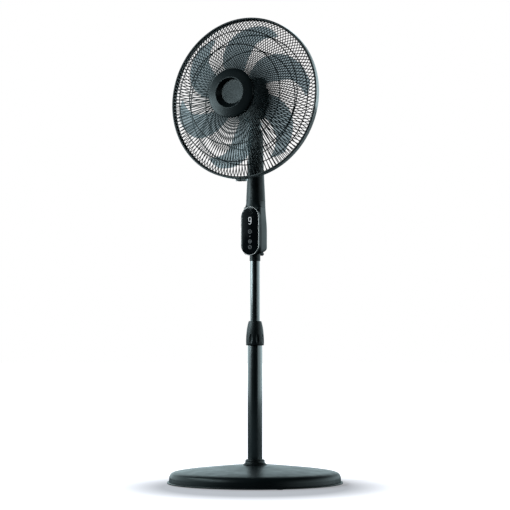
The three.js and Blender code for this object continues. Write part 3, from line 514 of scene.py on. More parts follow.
def make_base():
    top = [
        (LIP_R - 5, LIP_TOP + 0.3), (LIP_R - 5.3, 12), (LIP_R - 6.2, 19.5), (LIP_R - 9.5, 26.2),
        (LIP_R - 15.5, 29.9), (203, 32.3), (189, 34.4), (168, 37.2), (126, 41.6), (84, 45.8),
        (50, 48.6), (30, BASE_TOP - 0.1),
    ]
    wall = 3
    under = [(r - wall * 0.8, z - wall) for r, z in top[::-1] if z > 15]
    hole = POLE_R + 0.3
    outline = smooth_line(top) + [(hole, BASE_TOP - 0.1), (hole, BASE_TOP - wall)]
    outline += smooth_line(under) + [(LIP_R - 5 - wall, LIP_TOP + 0.3)]
    piece("base_dome", *turned(outline, 224), "stand", "charcoal_plastic", ["base_cover"])

    lip = rounded([
        (192, LIP_LOW, 0.8), (LIP_R, LIP_LOW, 1.6), (LIP_R, LIP_LOW + 3.2, 1.4),
        (LIP_R - 2.2, LIP_TOP, 1.2), (216, LIP_TOP, 0.3), (216, LIP_LOW + 2.4, 0.3),
        (192, LIP_LOW + 2.4, 0.3),
    ])
    piece("base_lip", *turned(lip, 224), "stand", "black_plastic", ["base_ring"])

    skirt = rounded([
        (POLE_R + 0.3, BASE_TOP + 0.3, 0), (31, BASE_TOP + 0.3, 0.4), (30.8, BASE_TOP + 2.2, 1.2),
        (27.2, BASE_TOP + 4.2, 1.4), (25.4, BASE_TOP + 7.2, 1.2), (25, SKIRT_TOP - 1.6, 1.6),
        (22.6, SKIRT_TOP, 1.4), (POLE_R + 1.6, SKIRT_TOP, 0.8), (POLE_R + 0.3, SKIRT_TOP - 1.2, 0.4),
    ])
    piece("base_skirt", *turned(skirt, 128), "stand", "black_plastic", ["base_collar"])

    for number in range(1, 5):
        node = f"rubber_foot_{number}"
        low, high = box_mm(node)
        r = (high[0] - low[0]) / 2
        pad = rounded([(0, 0, 0), (r - 1.6, 0, 0.8), (r, 1.2, 0.6), (r, high[2], 0.2), (0, high[2], 0)])
        grooved = pad[:1] + [(r * 0.3, 0), (r * 0.33, 0.5), (r * 0.42, 0.5), (r * 0.45, 0)] + pad[1:]
        shape = turned(grooved, 48, closed=False, centre=((low[0] + high[0]) / 2, (low[1] + high[1]) / 2))
        piece(f"foot_pad_{number}", *shape, "stand", "rubber", [node])


def make_poles():
    wall = 1.5
    outer = rounded([
        (POLE_R - wall, POLE_LOW, 0), (POLE_R, POLE_LOW, 0.3), (POLE_R, POLE_TOP, 0.5),
        (POLE_R - wall, POLE_TOP, 0.3),
    ], 3)
    piece("pole_lower", *turned(outer, 128), "stand", "charcoal_paint", ["outer_pole"])
    thin = 1.3
    inner = rounded([
        (TUBE_R - thin, TUBE_LOW, 0), (TUBE_R, TUBE_LOW, 0.3), (TUBE_R, TUBE_TOP, 0.3),
        (TUBE_R - thin, TUBE_TOP, 0.3),
    ], 3)
    piece("pole_upper", *turned(inner, 96), "riser", "charcoal_paint", ["inner_pole"])


def make_height_collar():
    """A tapered knob with upright oval dimples round its lower part."""
    height = COLLAR_TOP - COLLAR_LOW
    outline = smooth_line([
        (22.0, 0), (23.1, 1.2), (23.4, 5), (23.4, 12), (23.0, 22), (22.3, 32), (21.2, 42), (19.6, 51),
        (17.6, 59.2), (16.9, 61.6), (16.2, 62.8), (15.2, height),
    ], 7)
    grip_middle, grip_half, grip_depth, grip_half_w = 17, 12.5, 1.7, 4.6
    sides = COLLAR_GRIPS * 40
    step = 2 * math.pi / COLLAR_GRIPS
    rows = []
    for r, z in outline:
        row = []
        for angle in circle(sides):
            off = (angle + step / 2) % step - step / 2
            reach = math.hypot(off * r / grip_half_w, (z - grip_middle) / grip_half)
            dent = grip_depth * (1 - min(1, reach) ** 2) ** 0.7 if reach < 1 else 0.0
            row.append(((r - dent) * math.cos(angle), (r - dent) * math.sin(angle), COLLAR_LOW + z))
        rows.append(row)
    bore = [(TUBE_R + 0.4, height), (TUBE_R + 0.4, 46), (POLE_R + 0.4, 8), (POLE_R + 0.4, 0)]
    for r, z in bore:
        rows.append([(r * math.cos(a), r * math.sin(a), COLLAR_LOW + z) for a in circle(sides)])
    piece("height_knob", *hollow(rows), "collar", "black_plastic", ["height_collar"])


# ---------------------------------------------------------------- control housing


def neck_radius(z):
    return reading([
        (HOUSING_TOP, 25), (747, 24.5), (760, 23.9), (787, 22.6), (820, 21.3), (860, 20.1), (885, 19.5),
        (905, 19.2),
    ], z)


def eased(t):
    """A step from 0 to 1 with soft ends."""
    t = min(1.0, max(0.0, t))
    return t * t * (3 - 2 * t)


def housing_row(z, inset, count=96):
    """One level of the housing: flat front, straight sides, round back, turning into the round neck."""
    half = HOUSING_HALF_W - inset
    front = HOUSING_FRONT + inset * 0.35
    back = HOUSING_BACK - inset
    corner = 8
    outline = []
    side = count // 2
    for k in range(side):
        a = math.pi * k / (side - 1)
        outline.append((half * math.cos(a), HOUSING_STRAIGHT + (back - HOUSING_STRAIGHT) * math.sin(a)))
    steps = count // 8
    for k in range(steps):
        a = math.pi + math.pi / 2 * k / (steps - 1)
        outline.append((-half + corner + corner * math.cos(a), front + corner + corner * math.sin(a)))
    flat = 2 * (half - corner)
    outline += [(-flat / 2 + flat * k / steps, front) for k in range(1, steps)]
    for k in range(steps):
        a = -math.pi / 2 + math.pi / 2 * k / (steps - 1)
        outline.append((half - corner + corner * math.cos(a), front + corner + corner * math.sin(a)))
    neck_r = neck_radius(HOUSING_TOP)
    low_share = max(0.0, 1 - (z - HOUSING_LOW) / RISE_HEIGHT)
    drop = min(1.0, (HOUSING_TOP - z) / (HOUSING_TOP - FRONT_FILLET_LOW))
    front_turn = math.sqrt(1 - drop * drop)
    back_turn = eased((z - BACK_TURN_LOW) / (HOUSING_TOP - BACK_TURN_LOW))
    row = []
    for x, y in outline:
        share = min(1.0, max(0.0, (y - HOUSING_FRONT) / (HOUSING_BACK - HOUSING_FRONT)))
        rise = HOUSING_RISE * share + HOUSING_TUCK * (1 - math.sqrt(1 - 0.98 * share ** 3))
        to_neck = front_turn + (back_turn - front_turn) * eased(share / FRONT_SHARE)
        angle = math.atan2(y - NECK_Y, x)
        round_x, round_y = neck_r * math.cos(angle), NECK_Y + neck_r * math.sin(angle)
        row.append((x + (round_x - x) * to_neck, y + (round_y - y) * to_neck, z + rise * low_share))
    return row


def make_housing():
    rows = []
    for k in range(9):
        a = math.pi / 2 * k / 8
        rows.append(housing_row(HOUSING_LOW + BOTTOM_ROUND * (1 - math.cos(a)),
                                BOTTOM_ROUND * (1 - math.sin(a)) * 0.9))
    for z in HOUSING_LEVELS:
        rows.append(housing_row(z, 0))
    for k in range(FILLET_STEPS + 1):
        drop = math.cos(math.pi / 2 * k / FILLET_STEPS)
        rows.append(housing_row(HOUSING_TOP - (HOUSING_TOP - FRONT_FILLET_LOW) * drop, 0))
    piece("housing_shell", *loft(rows), "riser", "charcoal_plastic", ["control_housing"], sharp=45)

    socket = rounded([
        (TUBE_R + 0.3, SOCKET_LOW, 0.4), (SOCKET_R, SOCKET_LOW, 1.2), (SOCKET_R, SOCKET_TOP, 0.6),
        (TUBE_R + 0.3, SOCKET_TOP, 0.3),
    ])
    piece("pole_socket_sleeve", *turned(socket, 96), "riser", "black_plastic", ["pole_socket"])


def stadium_points(width, height, count=64):
    """Points round an upright outline with round ends, about the origin."""
    r = width / 2
    straight = height / 2 - r
    points = []
    for start, middle in ((0, straight), (math.pi, -straight)):
        for k in range(count):
            a = start + math.pi * k / (count - 1)
            points.append((r * math.cos(a), middle + r * math.sin(a)))
    return points


def make_panel():
    """Glossy touch panel in a bright rim, with a lit figure and plain round touch marks."""
    low, high = box_mm("panel_bezel")
    width, height = high[0] - low[0], high[2] - low[2]
    middle = (low[2] + high[2]) / 2
    face, back = low[1] - PANEL_PROUD, high[1]
    rim, ring_deep = 1.7, 0.8
    under = face + ring_deep
    rim_corners = [(0.25, under, 0), (0.25, face, 0.5), (rim, face, 0.35), (rim, under, 0)]
    pod_corners = [(0, back, 0), (0, under - 0.3, 0.7), (rim, under + 0.05, 0), (rim, back, 0)]
    parts = [("panel_rim", "silver_trim", rim_corners), ("panel_pod", "charcoal_plastic", pod_corners)]
    for name, look, corners in parts:
        section = rounded(corners)
        rows = [[(x, y, middle + z) for x, z in stadium_points(width - 2 * inset, height - 2 * inset)]
                for inset, y in section]
        piece(name, *flipped(hollow(rows)), "riser", look, ["panel_bezel"])

    glass_low, glass_high = box_mm("touch_panel")
    glass_w, glass_h = glass_high[0] - glass_low[0], glass_high[2] - glass_low[2]
    front, rear = glass_low[1] - PANEL_PROUD, glass_high[1] - PANEL_PROUD
    bevel = [(0, rear), (0, front + 0.9), (0.15, front + 0.4), (0.5, front + 0.12), (1.1, front)]
    rows = [[(x, y, middle + z) for x, z in stadium_points(glass_w - 2 * inset, glass_h - 2 * inset)]
            for inset, y in bevel]
    piece("panel_glass", *loft(rows), "riser", "panel_gloss", ["touch_panel"])

    marks = front - 0.05
    digit_z = middle + 30.5
    stroke = 0.56
    # A rounded figure nine: a closed loop above and a hooked tail below.
    loop_w, loop_h, tail = 3.5, 5.2, 12.4
    loop = [(x, marks, digit_z + z) for x, z in rounded_loop(loop_w, loop_h, 2.6)]
    hook = [(loop_w, 0), (loop_w, -tail * 0.55), (loop_w - 0.5, -tail * 0.78), (loop_w - 2.4, -tail),
            (0, -tail), (-loop_w + 2.0, -tail), (-loop_w + 0.2, -tail + 1.6)]
    hook = [(x, marks, digit_z + z) for x, z in smooth_line(hook, 6)]
    figure = joined(ribbon(loop, stroke, True), ribbon(hook, stroke, False))
    piece("panel_figure", *figure, "riser", "display_light")

    icons = []
    for z, r, w in ((middle - 1.5, 4.6, 0.55), (middle - 27, 4.4, 0.55), (middle - 42, 4.4, 0.55)):
        ring = [(r * math.cos(a), marks, z + r * math.sin(a)) for a in circle(40)]
        icons.append(ribbon(ring, w, True))
    for z, r in ((middle - 14, 1.6), (middle - 1.5, 1.3), (middle - 42, 1.2)):
        dot = [(r * 0.5 * math.cos(a), marks, z + r * 0.5 * math.sin(a)) for a in circle(24)]
        icons.append(ribbon(dot, r * 0.5, True))
    for x, half in ((-2.0, 2), (0.0, 2.6), (2.0, 2)):
        bar = [(x, marks, middle - 27 - half), (x, marks, middle - 27 + half)]
        icons.append(ribbon(bar, 0.4, False))
    piece("panel_icons", *joined(*icons), "riser", "display_light", look="display_icons")


def rounded_loop(half_w, half_h, corner, steps=8):
    """Points round a rectangle with round corners, about the origin."""
    points = []
    for cx, cz, start in ((1, 1, 0), (-1, 1, 90), (-1, -1, 180), (1, -1, 270)):
        for k in range(steps + 1):
            a = math.radians(start + 90 * k / steps)
            points.append((cx * (half_w - corner) + corner * math.cos(a),
                           cz * (half_h - corner) + corner * math.sin(a)))
    return points


def ribbon(points, half, closed, thick=0.04):
    """A thin flat band along points in an XZ plane, as a closed body."""
    pts = np.asarray(points, float)
    ahead = directions(pts, closed)
    side = np.stack([-ahead[:, 2], ahead[:, 1] * 0, ahead[:, 0]], 1) * half
    depth = np.array((0, thick, 0))
    rows = [(p + s - depth, p - s - depth, p - s + depth, p + s + depth) for p, s in zip(pts, side)]
    return hollow(rows) if closed else loft(rows)


def wavy_ring(radius, sides, waves, change):
    """Points round the origin whose distance changes with a cosine wave."""
    points = []
    for a in circle(sides):
        r = radius + change(math.cos(waves * a))
        points.append((r * math.cos(a), r * math.sin(a)))
    return points


def make_fixing_knob():
    low, high = box_mm("fixing_screw")
    r = (high[0] - low[0]) / 2
    centre_z = (low[2] + high[2]) / 2
    length = high[1] - low[1]
    outline = rounded([
        (0, 0, 0), (3, 0, 0.3), (3, 16, 0.2), (4.1, 16.4, 0.3), (r, 17.8, 0.8), (r, length - 1.4, 1.0),
        (r - 1.2, length, 0.6), (0, length, 0),
    ], 4)
    rows = []
    for radius, along in outline[1:-1]:
        grip = 0.22 if 17.9 < along < length - 0.9 else 0.0
        ring = wavy_ring(radius, 96, 24, lambda wave: -grip * max(0.0, wave))
        rows.append([(x, low[1] + along, centre_z + z) for x, z in ring])
    piece("fixing_knob_grip", *flipped(loft(rows)), "fixing_knob", "black_plastic", ["fixing_screw"])


def make_gland():
    low, high = box_mm("cord_gland")
    centre_z = (low[2] + high[2]) / 2
    outline = rounded([
        (2.6, 0, 0.3), (6.5, 0, 1.1), (6.5, 2.4, 0.3), (3.9, 2.4, 0.3), (3.9, 7, 0.3), (2.6, 7, 0.3),
    ], 4)
    vertices, faces = turned(outline, 48)
    vertices = [(x, high[1] - z, centre_z + y) for x, y, z in vertices]
    piece("gland_bush", vertices, faces, "riser", "rubber", ["cord_gland"])


def make_neck():
    heights = [HOUSING_TOP + 0.3, 747, 760, 773, 787, 803, 820, 840, 860, 880, 897, 908]
    outside = [(neck_radius(z), z) for z in heights]
    dome = [(18.9, 912.5), (18.1, 916.2), (16.7, 919.4), (14.9, 921.7), (13.2, NECK_TOP)]
    wall = 2.2
    profile = smooth_line(outside + dome, 5)
    profile += [(9, NECK_TOP), (9, NECK_TOP - 5)]
    profile += [(16.6, 912)] + [(r - wall, z) for r, z in outside[::-1]]
    piece("neck_tube", *turned(profile, 160, centre=(0, NECK_Y)), "riser", "charcoal_plastic",
          ["neck_column"])


# ---------------------------------------------------------------- head


def half_can(start, end, wall=2.2, sides=72):
    """Part of the upright can between two angles about its axis, as a closed shell."""
    round_r = 9
    outside = rounded([(0, CAN_LOW, 0), (CAN_R, CAN_LOW, round_r), (CAN_R, CAN_HIGH, round_r),
                       (0, CAN_HIGH, 0)], 10)
    inside = rounded([(0, CAN_LOW + wall, 0), (CAN_R - wall, CAN_LOW + wall, round_r - wall),
                      (CAN_R - wall, CAN_HIGH - wall, round_r - wall), (0, CAN_HIGH - wall, 0)], 10)
    loop = outside + inside[::-1]
    vertices = []
    for k in range(sides + 1):
        a = start + (end - start) * k / sides
        for r, y in loop:
            vertices.append((max(r, 0.02) * math.cos(a), y, -NECK_Y + max(r, 0.02) * math.sin(a)))
    count = len(loop)
    faces = [f[::-1] for f in grid_faces(sides + 1, count)]
    half = len(outside)
    for k in range(half - 1):
        faces.append((k, k + 1, count - 2 - k, count - 1 - k))
        last = sides * count
        faces.append((last + k + 1, last + k, last + count - 1 - k, last + count - 2 - k))
    return vertices, faces


def make_can():
    seam = 0.35 / CAN_R
    piece("can_front", *half_can(seam, math.pi - seam), "head", "charcoal_plastic",
          ["head_shell_front"])
    piece("can_rear", *half_can(math.pi + seam, 2 * math.pi - seam), "head", "charcoal_plastic",
          ["head_shell_rear"])


def guard_line(profile, angle, swirl):
    """A wire of a guard in head coordinates: out along the profile while it swirls."""
    first, last = profile[0][0], profile[-1][0]
    line = []
    for r, depth in profile:
        a = angle + swirl * (r - first) / (last - first)
        line.append((r * math.cos(a), r * math.sin(a), depth))
    return line


def ring_line(r, depth, count=144):
    return [(r * math.cos(a), r * math.sin(a), depth) for a in circle(count)]


FRONT_PROFILE = [
    (57, 134.6), (80, 132.6), (105, 128.8), (131, 122.4), (152, 114.8), (171, 104.6), (185, 94.2),
    (196, 83.2), (203, 74.6), (206, 69.4),
]
REAR_PROFILE = [
    (30, 27.8), (60, 28.0), (95, 28.6), (131, 30.6), (152, 33.6), (171, 38.4), (187, 44.8), (199, 52.4),
    (206, 58.6),
]


def make_guard(name, profile, swirl, first_ring, node, outward):
    """Swirling wires with rings behind them, on the side away from outward."""
    smooth = smooth_line(profile, 2)
    parts = [tube_along(guard_line(smooth, a, swirl), WIRE_R, 6) for a in circle(GUARD_WIRES)]
    for r, ring_r in [(first_ring, 1.6), *GUARD_RINGS]:
        depth = reading(profile, r) - outward * (WIRE_R + ring_r)
        parts.append(tube_along(ring_line(r, depth), ring_r, 8, closed=True))
    piece(name, *joined(*parts), "head", "wire_paint", [node], sharp=80)


def split_ring(section):
    """A closed outline of (radius, depth) swept round the head, open by a hair at the bottom."""
    gap = 1.0 / HOOP_R
    sides = 288
    rows = []
    for k in range(sides + 1):
        a = -math.pi / 2 + gap + (2 * math.pi - 2 * gap) * k / sides
        rows.append([(r * math.cos(a), r * math.sin(a), z) for r, z in section])
    return flipped(loft(rows))


def make_hoop():
    """The band round both guards, drawn together at the bottom by a screw, with a light grey strip round
    its outside as a painted reflection.
    """
    low, high = HOOP_MID - HOOP_DEPTH / 2, HOOP_MID + HOOP_DEPTH / 2
    lip, skin, strip, strip_inset = 1.6, 1.2, 0.3, 1.3
    outer = HOOP_R - strip
    band = split_ring(rounded([
        (HOOP_LIP_R, low, 0.5), (outer, low, 1.6), (outer, high, 1.6), (HOOP_LIP_R, high, 0.5),
        (HOOP_LIP_R, high - lip, 0.4), (HOOP_R - skin, high - lip, 0.4),
        (HOOP_R - skin, low + lip, 0.4), (HOOP_LIP_R, low + lip, 0.4),
    ], 4))
    # painted reflection: this strip's light grey colour stands for the bright wall behind the fan, seen
    # in the band's glossy outside
    painted_reflection_strip = split_ring(rounded([
        (outer - strip, low + strip_inset, 0), (HOOP_R, low + strip_inset, 0.25),
        (HOOP_R, high - strip_inset, 0.25), (outer - strip, high - strip_inset, 0),
    ], 3))
    lugs = []
    for side in (-1, 1):
        outline = rounded([
            (side * 1.0, -HOOP_R + 0.8, 0), (side * 14, -HOOP_R + 0.6, 0.6),
            (side * 12.6, -HOOP_R - 4.6, 1.6), (side * 11, -HOOP_R - 5.5, 1.4),
            (side * 1.0, -HOOP_R - 5.5, 0.5),
        ], 4)
        rows = [[(x, y, z) for x, y in outline] for z in (low + 3, low + 3.6, high - 3.6, high - 3)]
        shape = loft(rows)
        lugs.append(shape if side < 0 else flipped(shape))
    piece("hoop_band", *joined(band, *lugs), "head", "black_plastic", ["guard_hoop"])
    piece("hoop_painted_reflection_strip", *painted_reflection_strip, "head", "black_plastic", ["guard_hoop"], look="painted_reflection_strip")


def make_cap():
    """The cap in front of the wires: a sloping plate round a dish whose floor sits off its middle."""
    sides = 192
    rings = [
        (DISH_FLOOR_R + 1.2, DISH_FLOOR - 2.6, 1), (DISH_R + 2, CAP_BACK, 0),
        (CAP_R - 1.2, CAP_BACK, 0), (CAP_R - 0.3, CAP_BACK + 0.4, 0), (CAP_R, CAP_BACK + 1.4, 0),
        (CAP_R - 0.3, CAP_BACK + 2.6, 0), (CAP_R - 1.4, CAP_BACK + 3.6, 0),
        (CAP_R - 9, CAP_BACK + 6.3, 0), (DISH_R + 2.6, CAP_FRONT - 0.35, 0),
        (DISH_R + 1.2, CAP_FRONT, 0), (DISH_R, CAP_FRONT - 0.4, 0),
        (DISH_R - 0.7, CAP_FRONT - 1.4, 0.05), (DISH_R - 1.4, CAP_FRONT - 3.5, 0.1),
        (DISH_FLOOR_R + 2.4, DISH_FLOOR + 3, 0.8), (DISH_FLOOR_R + 0.9, DISH_FLOOR + 0.8, 1),
        (DISH_FLOOR_R + 0.2, DISH_FLOOR - 0.2, 1), (DISH_FLOOR_R + 0.2, DISH_FLOOR - 2.6, 1),
    ]
    rows = []
    for r, depth, share in rings:
        x, y = DISH_SHIFT[0] * share, DISH_SHIFT[1] * share
        rows.append([(r * math.cos(a) + x, r * math.sin(a) + y, depth) for a in circle(sides)])
    piece("cap_cone", *hollow(rows), "head", "charcoal_plastic", ["cap_plate"])
    disc = rounded([
        (0, DISH_FLOOR - 2.9, 0), (DISH_FLOOR_R, DISH_FLOOR - 2.9, 0.3),
        (DISH_FLOOR_R, DISH_FLOOR, 0.5), (DISH_FLOOR_R - 2, DISH_FLOOR - 0.1, 0.8),
        (0, DISH_FLOOR - 1.2, 0),
    ], 5)
    piece("cap_badge_disc", *turned(disc, 160, closed=False, centre=DISH_SHIFT), "head",
          "charcoal_plastic", ["cap_disc"])


CLOCKWISE_EDGE = [
    (40, 28.5), (70, 25), (95, 21.5), (120, 18), (145, 14.5), (165, 6.5), (179, -1), (186, 1.5),
    (BLADE_R, 9),
]
COUNTER_EDGE = [
    (40, 65.5), (70, 62), (95, 59), (120, 53), (145, 45.5), (165, 37), (179, 27.5), (186, 21),
    (BLADE_R, 12),
]
REAR_EDGE = [(40, 78), (120, 79), (BLADE_R, 68)]
FORE_EDGE = [(40, 91), (120, 98), (BLADE_R, 75)]


def smooth_reading(table):
    """The table as a smooth curve, read at a radius."""
    curve = smooth_line(table, 8)
    return lambda r: reading(curve, r)


def make_rotor():
    clockwise, counter = smooth_reading(CLOCKWISE_EDGE), smooth_reading(COUNTER_EDGE)
    rear, fore = smooth_reading(REAR_EDGE), smooth_reading(FORE_EDGE)
    camber, thick = 5.0, 1.9
    radii = [HUB_R - 1.2 + (BLADE_R - HUB_R + 1.2) * (1 - (1 - k / 34) ** 1.6) for k in range(35)]
    across = 18
    parts = []
    for blade in range(BLADE_COUNT):
        turn = 360 / BLADE_COUNT * blade
        rows = []
        for r in radii:
            upper, lower = [], []
            for k in range(across + 1):
                v = k / across
                angle = math.radians(turn + clockwise(r) + (counter(r) - clockwise(r)) * v)
                depth = rear(r) + (fore(r) - rear(r)) * v - camber * (1 - (2 * v - 1) ** 2)
                thinning = 1 - 0.45 * (r - HUB_R) / (BLADE_R - HUB_R)
                half = thick / 2 * (1 - (2 * v - 1) ** 8) * thinning + 0.08
                upper.append((r * math.cos(angle), r * math.sin(angle), depth + half))
                lower.append((r * math.cos(angle), r * math.sin(angle), depth - half))
            rows.append(upper + lower[::-1])
        parts.append(loft(rows))
    hub = rounded([
        (4.2, HUB_FRONT - 24, 0.3), (9, HUB_FRONT - 24, 0.5), (9, HUB_FRONT - 3, 0.5),
        (HUB_R - 2.2, HUB_FRONT - 4, 1.6), (HUB_R - 2.2, HUB_BACK, 0.4), (HUB_R, HUB_BACK, 0.4),
        (HUB_R, HUB_FRONT, 5), (HUB_R - 14, HUB_FRONT, 0.5), (HUB_R - 15, HUB_FRONT - 0.8, 0.4),
        (4.2, HUB_FRONT - 0.8, 0.3),
    ], 5)
    parts.append(turned(hub, 128))
    for k in range(6):
        rib = rib_block(9, HUB_R - 2, HUB_FRONT - 14, HUB_FRONT - 3.5, 0.9)
        a = math.radians(60 * k + 10)
        rib = [(x * math.cos(a) - y * math.sin(a), x * math.sin(a) + y * math.cos(a), z)
               for x, y, z in rib]
        parts.append((rib, RIB_FACES))
    piece("blade_set", *joined(*parts), "rotor", "smoked_plastic", ["fan_blade"])

    nut = rounded([
        (0, HUB_FRONT + 0.3, 0), (16, HUB_FRONT + 0.3, 0.6), (16, HUB_FRONT + 5, 1.2),
        (12.5, HUB_FRONT + 7, 1), (11.5, HUB_FRONT + 13.5, 1.2), (8, HUB_FRONT + 15.4, 2),
        (0, HUB_FRONT + 15.5, 0),
    ], 4)
    rows = []
    for radius, depth in nut[1:-1]:
        wing = 0.8 if HUB_FRONT + 6.5 < depth < HUB_FRONT + 14 else 0.0
        rows.append([(x, y, depth) for x, y in wavy_ring(radius, 96, 8, lambda wave: wing * wave)])
    piece("blade_lock_nut", *loft(rows), "rotor", "black_plastic", ["blade_nut"])


RIB_FACES = [(0, 3, 2, 1), (4, 5, 6, 7), (0, 1, 5, 4), (1, 2, 6, 5), (2, 3, 7, 6), (3, 0, 4, 7)]


def rib_block(start, end, low, high, half):
    """Corners of a straight rib that runs along X."""
    return [(start, -half, low), (end, -half, low), (end, half, low), (start, half, low),
            (start, -half, high), (end, -half, high), (end, half, high), (start, half, high)]


def make_guard_seat():
    seat = rounded([
        (15.3, 21.3, 0), (24, 21.3, 0.8), (31, 23.5, 0.8), (31, 26, 0.5), (15.3, 26, 0),
    ], 4)
    piece("guard_seat_ring", *turned(seat, 96), "head", "black_plastic", ["guard_seat"])
    outline = rounded([
        (15.3, 29.8, 0), (27, 29.8, 0.6), (27, 33.2, 0.9), (22, 37, 1.2), (15.3, 37, 0.4),
    ], 4)
    rows = []
    for radius, depth in outline:
        bite = 1.1 if radius > 20 and depth > 30 else 0.0
        ring = wavy_ring(radius, 120, 12, lambda wave: -bite * max(0, wave) ** 2)
        rows.append([(x, y, depth) for x, y in ring])
    piece("guard_lock_nut", *hollow(rows), "head", "black_plastic", ["guard_nut"])


# ---------------------------------------------------------------- carried-over CAD nodes

CARRIED = {
    "iron": ["base_weight", "motor_rotor"],
    "steel": ["pole_flange", "flange_screw_1", "flange_screw_2", "flange_screw_3", "board_screw_1",
              "board_screw_2", "oscillation_motor", "tilt_bolt", "tilt_nut", "tilt_washer_1",
              "tilt_washer_2", "shell_screw_1", "shell_screw_2", "rear_bearing", "front_bearing",
              "hoop_screw", "hoop_nut", "motor_shaft", "drive_pin"],
    "nylon": ["pole_bush", "pole_end_plug", "oscillation_bearing"],
    "circuit": ["control_board", "driver_board"],
    "display_light": ["digit_display"],
    "alloy": ["head_frame", "motor_end_plate"],
    "charcoal_paint": ["pivot_fork"],
    "copper": ["motor_stator"],
}


def dress_carried_nodes():
    for name, nodes in CARRIED.items():
        for node in nodes:
            thing = frame["nodes"][node]
            thing.data.materials.clear()
            thing.data.materials.append(M[name])
            for polygon in thing.data.polygons:
                polygon.material_index = 0


# ---------------------------------------------------------------- studio


def make_floor():
    sides = 96
    vertices = [(0, 0, 0)]
    rings = [600, 1500, 4000, 12000, FLOOR_R]
    for r in rings:
        vertices += [(r * math.cos(a) * MM, r * math.sin(a) * MM, 0) for a in circle(sides)]
    faces = [(0, 1 + k, 1 + (k + 1) % sides) for k in range(sides)]
    faces += grid_faces(len(rings), sides, first=1)
    faces = [f if i < sides else f[::-1] for i, f in enumerate(faces)]
    mesh = bpy.data.meshes.new("studio_floor")
    mesh.from_pydata(vertices, [], faces)
    floor = bpy.data.objects.new("studio_floor", mesh)
    bpy.context.scene.collection.objects.link(floor)
    material, nodes, links, shader = new_material("studio_floor")
    shader.inputs["Roughness"].default_value = 1.0
    shader.inputs["Specular IOR Level"].default_value = 0.0
    shader.inputs["Emission Color"].default_value = (0.93, 0.955, 1, 1)
    where = nodes.new("ShaderNodeTexCoord")
    away = nodes.new("ShaderNodeVectorMath")
    away.operation = "LENGTH"
    # painted shadow: the floor's own light dims in an oval round the fan's foot, on top of the shadows
    # the lamps cast
    shadow_oval = nodes.new("ShaderNodeMapping")
    shadow_oval.vector_type = "TEXTURE"
    shadow_oval.inputs["Location"].default_value = (*SHADOW_CENTRE, 0)
    shadow_oval.inputs["Rotation"].default_value = (0, 0, AZIMUTH)
    shadow_oval.inputs["Scale"].default_value = (1, SHADOW_STRETCH, 1)
    links.new(where.outputs["Object"], shadow_oval.inputs["Vector"])
    links.new(shadow_oval.outputs["Vector"], away.inputs[0])
    glow = ranged(nodes, links, away.outputs["Value"], *FLOOR_GLOW, *SHADOW_EDGES)
    links.new(glow, shader.inputs["Emission Strength"])
    paper = ranged(nodes, links, noise(nodes, links, 3), 0, 1)
    links.new(blended(nodes, links, paper, (0.27, 0.235, 0.255), (0.29, 0.25, 0.27)),
              shader.inputs["Base Color"])
    # painted reflection: rays off the fan see the floor pale behind it and dark everywhere else, unlike
    # what the camera sees
    dim = nodes.new("ShaderNodeBsdfDiffuse")
    spot = nodes.new("ShaderNodeSeparateXYZ")
    links.new(where.outputs["Object"], spot.inputs[0])
    sides_share = ranged(nodes, links, spot.outputs["X"], 0, 1, BEHIND_FROM[0], BEHIND_FULL[0])
    depth_share = ranged(nodes, links, spot.outputs["Y"], 0, 1, BEHIND_FROM[1], BEHIND_FULL[1])
    behind = combined(nodes, links, "MULTIPLY", sides_share, depth_share)
    links.new(blended(nodes, links, behind, FLOOR_SEEN_BY_FAN, FLOOR_BEHIND_FAN), dim.inputs["Color"])
    ray = nodes.new("ShaderNodeLightPath")
    both = mixed(nodes, links, ray.outputs["Is Camera Ray"], dim.outputs[0], shader.outputs[0])
    links.new(both, nodes["Material Output"].inputs["Surface"])
    mesh.materials.append(material)


def lobe(nodes, links, direction, azimuth, edge, core, strength):
    """Brightness of a soft patch of the studio wall: full inside one angle, nothing past the other."""
    a = math.radians(azimuth)
    dot = nodes.new("ShaderNodeVectorMath")
    dot.operation = "DOT_PRODUCT"
    dot.inputs[1].default_value = (math.sin(a), -math.cos(a), 0)
    links.new(direction, dot.inputs[0])
    ends = [math.cos(math.radians(angle)) for angle in (edge, core)]
    return ranged(nodes, links, dot.outputs["Value"], 0, strength, *ends, smooth=True)


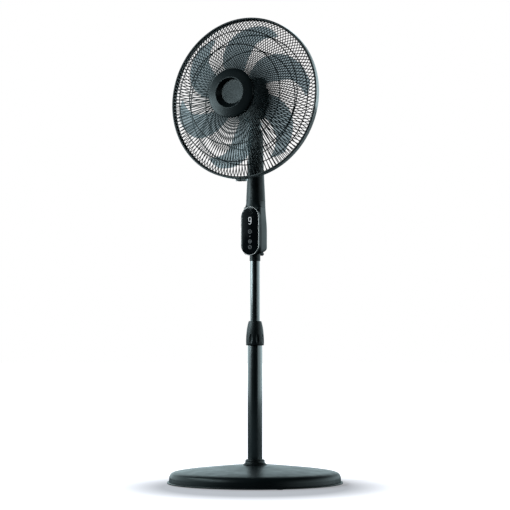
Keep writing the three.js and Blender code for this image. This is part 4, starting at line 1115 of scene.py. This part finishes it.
def make_world():
    """A white studio: bright walls at both sides and behind, and dark around the camera."""
    world = bpy.data.worlds.new("studio")
    bpy.context.scene.world = world
    world.use_nodes = True
    nodes, links = world.node_tree.nodes, world.node_tree.links
    nodes.clear()
    direction = nodes.new("ShaderNodeTexCoord").outputs["Generated"]
    total = None
    for azimuth, edge, core, strength in STUDIO_WALLS:
        patch = lobe(nodes, links, direction, azimuth, edge, core, strength)
        total = patch if total is None else combined(nodes, links, "ADD", total, patch)
    height = nodes.new("ShaderNodeSeparateXYZ")
    links.new(direction, height.inputs[0])
    ends = [math.sin(math.radians(angle)) for angle in WALL_TOP]
    ceiling = ranged(nodes, links, height.outputs["Z"], 1, WALL_TOP_SHARE, *ends, smooth=True)
    tinted = nodes.new("ShaderNodeBackground")
    tinted.inputs["Color"].default_value = (*STUDIO_TINT, 1)
    links.new(combined(nodes, links, "MULTIPLY", total, ceiling), tinted.inputs["Strength"])
    white = nodes.new("ShaderNodeBackground")
    white.inputs["Color"].default_value = (1, 1, 1, 1)
    white.inputs["Strength"].default_value = 1.0
    ray = nodes.new("ShaderNodeLightPath")
    both = mixed(nodes, links, ray.outputs["Is Camera Ray"], tinted.outputs[0], white.outputs[0])
    links.new(both, nodes.new("ShaderNodeOutputWorld").inputs["Surface"])


def make_light(name, azimuth, elevation, distance, size, power, glossy):
    """A square soft light aimed at the head. Its angles in degrees say where it stands."""
    a, e = math.radians(azimuth), math.radians(elevation)
    away = Vector((math.sin(a) * math.cos(e), -math.cos(a) * math.cos(e), math.sin(e)))
    light = bpy.data.lights.new(name, "AREA")
    light.size = size
    light.energy = power
    light.color = STUDIO_TINT
    holder = bpy.data.objects.new(name, light)
    holder.location = LIGHT_TARGET + away * distance
    holder.rotation_euler = away.to_track_quat("Z", "Y").to_euler()
    holder.visible_camera = False
    holder.visible_glossy = glossy
    bpy.context.scene.collection.objects.link(holder)


def make_camera():
    camera = bpy.data.objects.new("photo_camera", bpy.data.cameras.new("photo_camera"))
    camera.data.lens = FOCAL
    camera.data.sensor_width = SENSOR
    camera.data.clip_end = CLIP_END
    camera.location = Vector((
        DISTANCE * math.sin(AZIMUTH), -DISTANCE * math.cos(AZIMUTH), CAMERA_Z)) * MM
    camera.rotation_euler = (math.pi / 2 + PITCH, 0, AZIMUTH)
    bpy.context.scene.collection.objects.link(camera)
    bpy.context.scene.camera = camera


def main():
    make_base()
    make_poles()
    make_height_collar()
    make_housing()
    make_panel()
    make_fixing_knob()
    make_gland()
    make_neck()
    make_can()
    make_guard("guard_front_wires", FRONT_PROFILE, -GUARD_SWIRL, 57, "front_guard", 1)
    make_guard("guard_rear_wires", REAR_PROFILE, GUARD_SWIRL, 33, "rear_guard", -1)
    make_hoop()
    make_cap()
    make_rotor()
    make_guard_seat()
    dress_carried_nodes()
    make_floor()
    make_world()
    for name, numbers in STUDIO_LIGHTS.items():
        make_light(name, *numbers)
    make_camera()
    bpy.context.scene.view_settings.view_transform = "Standard"


main()
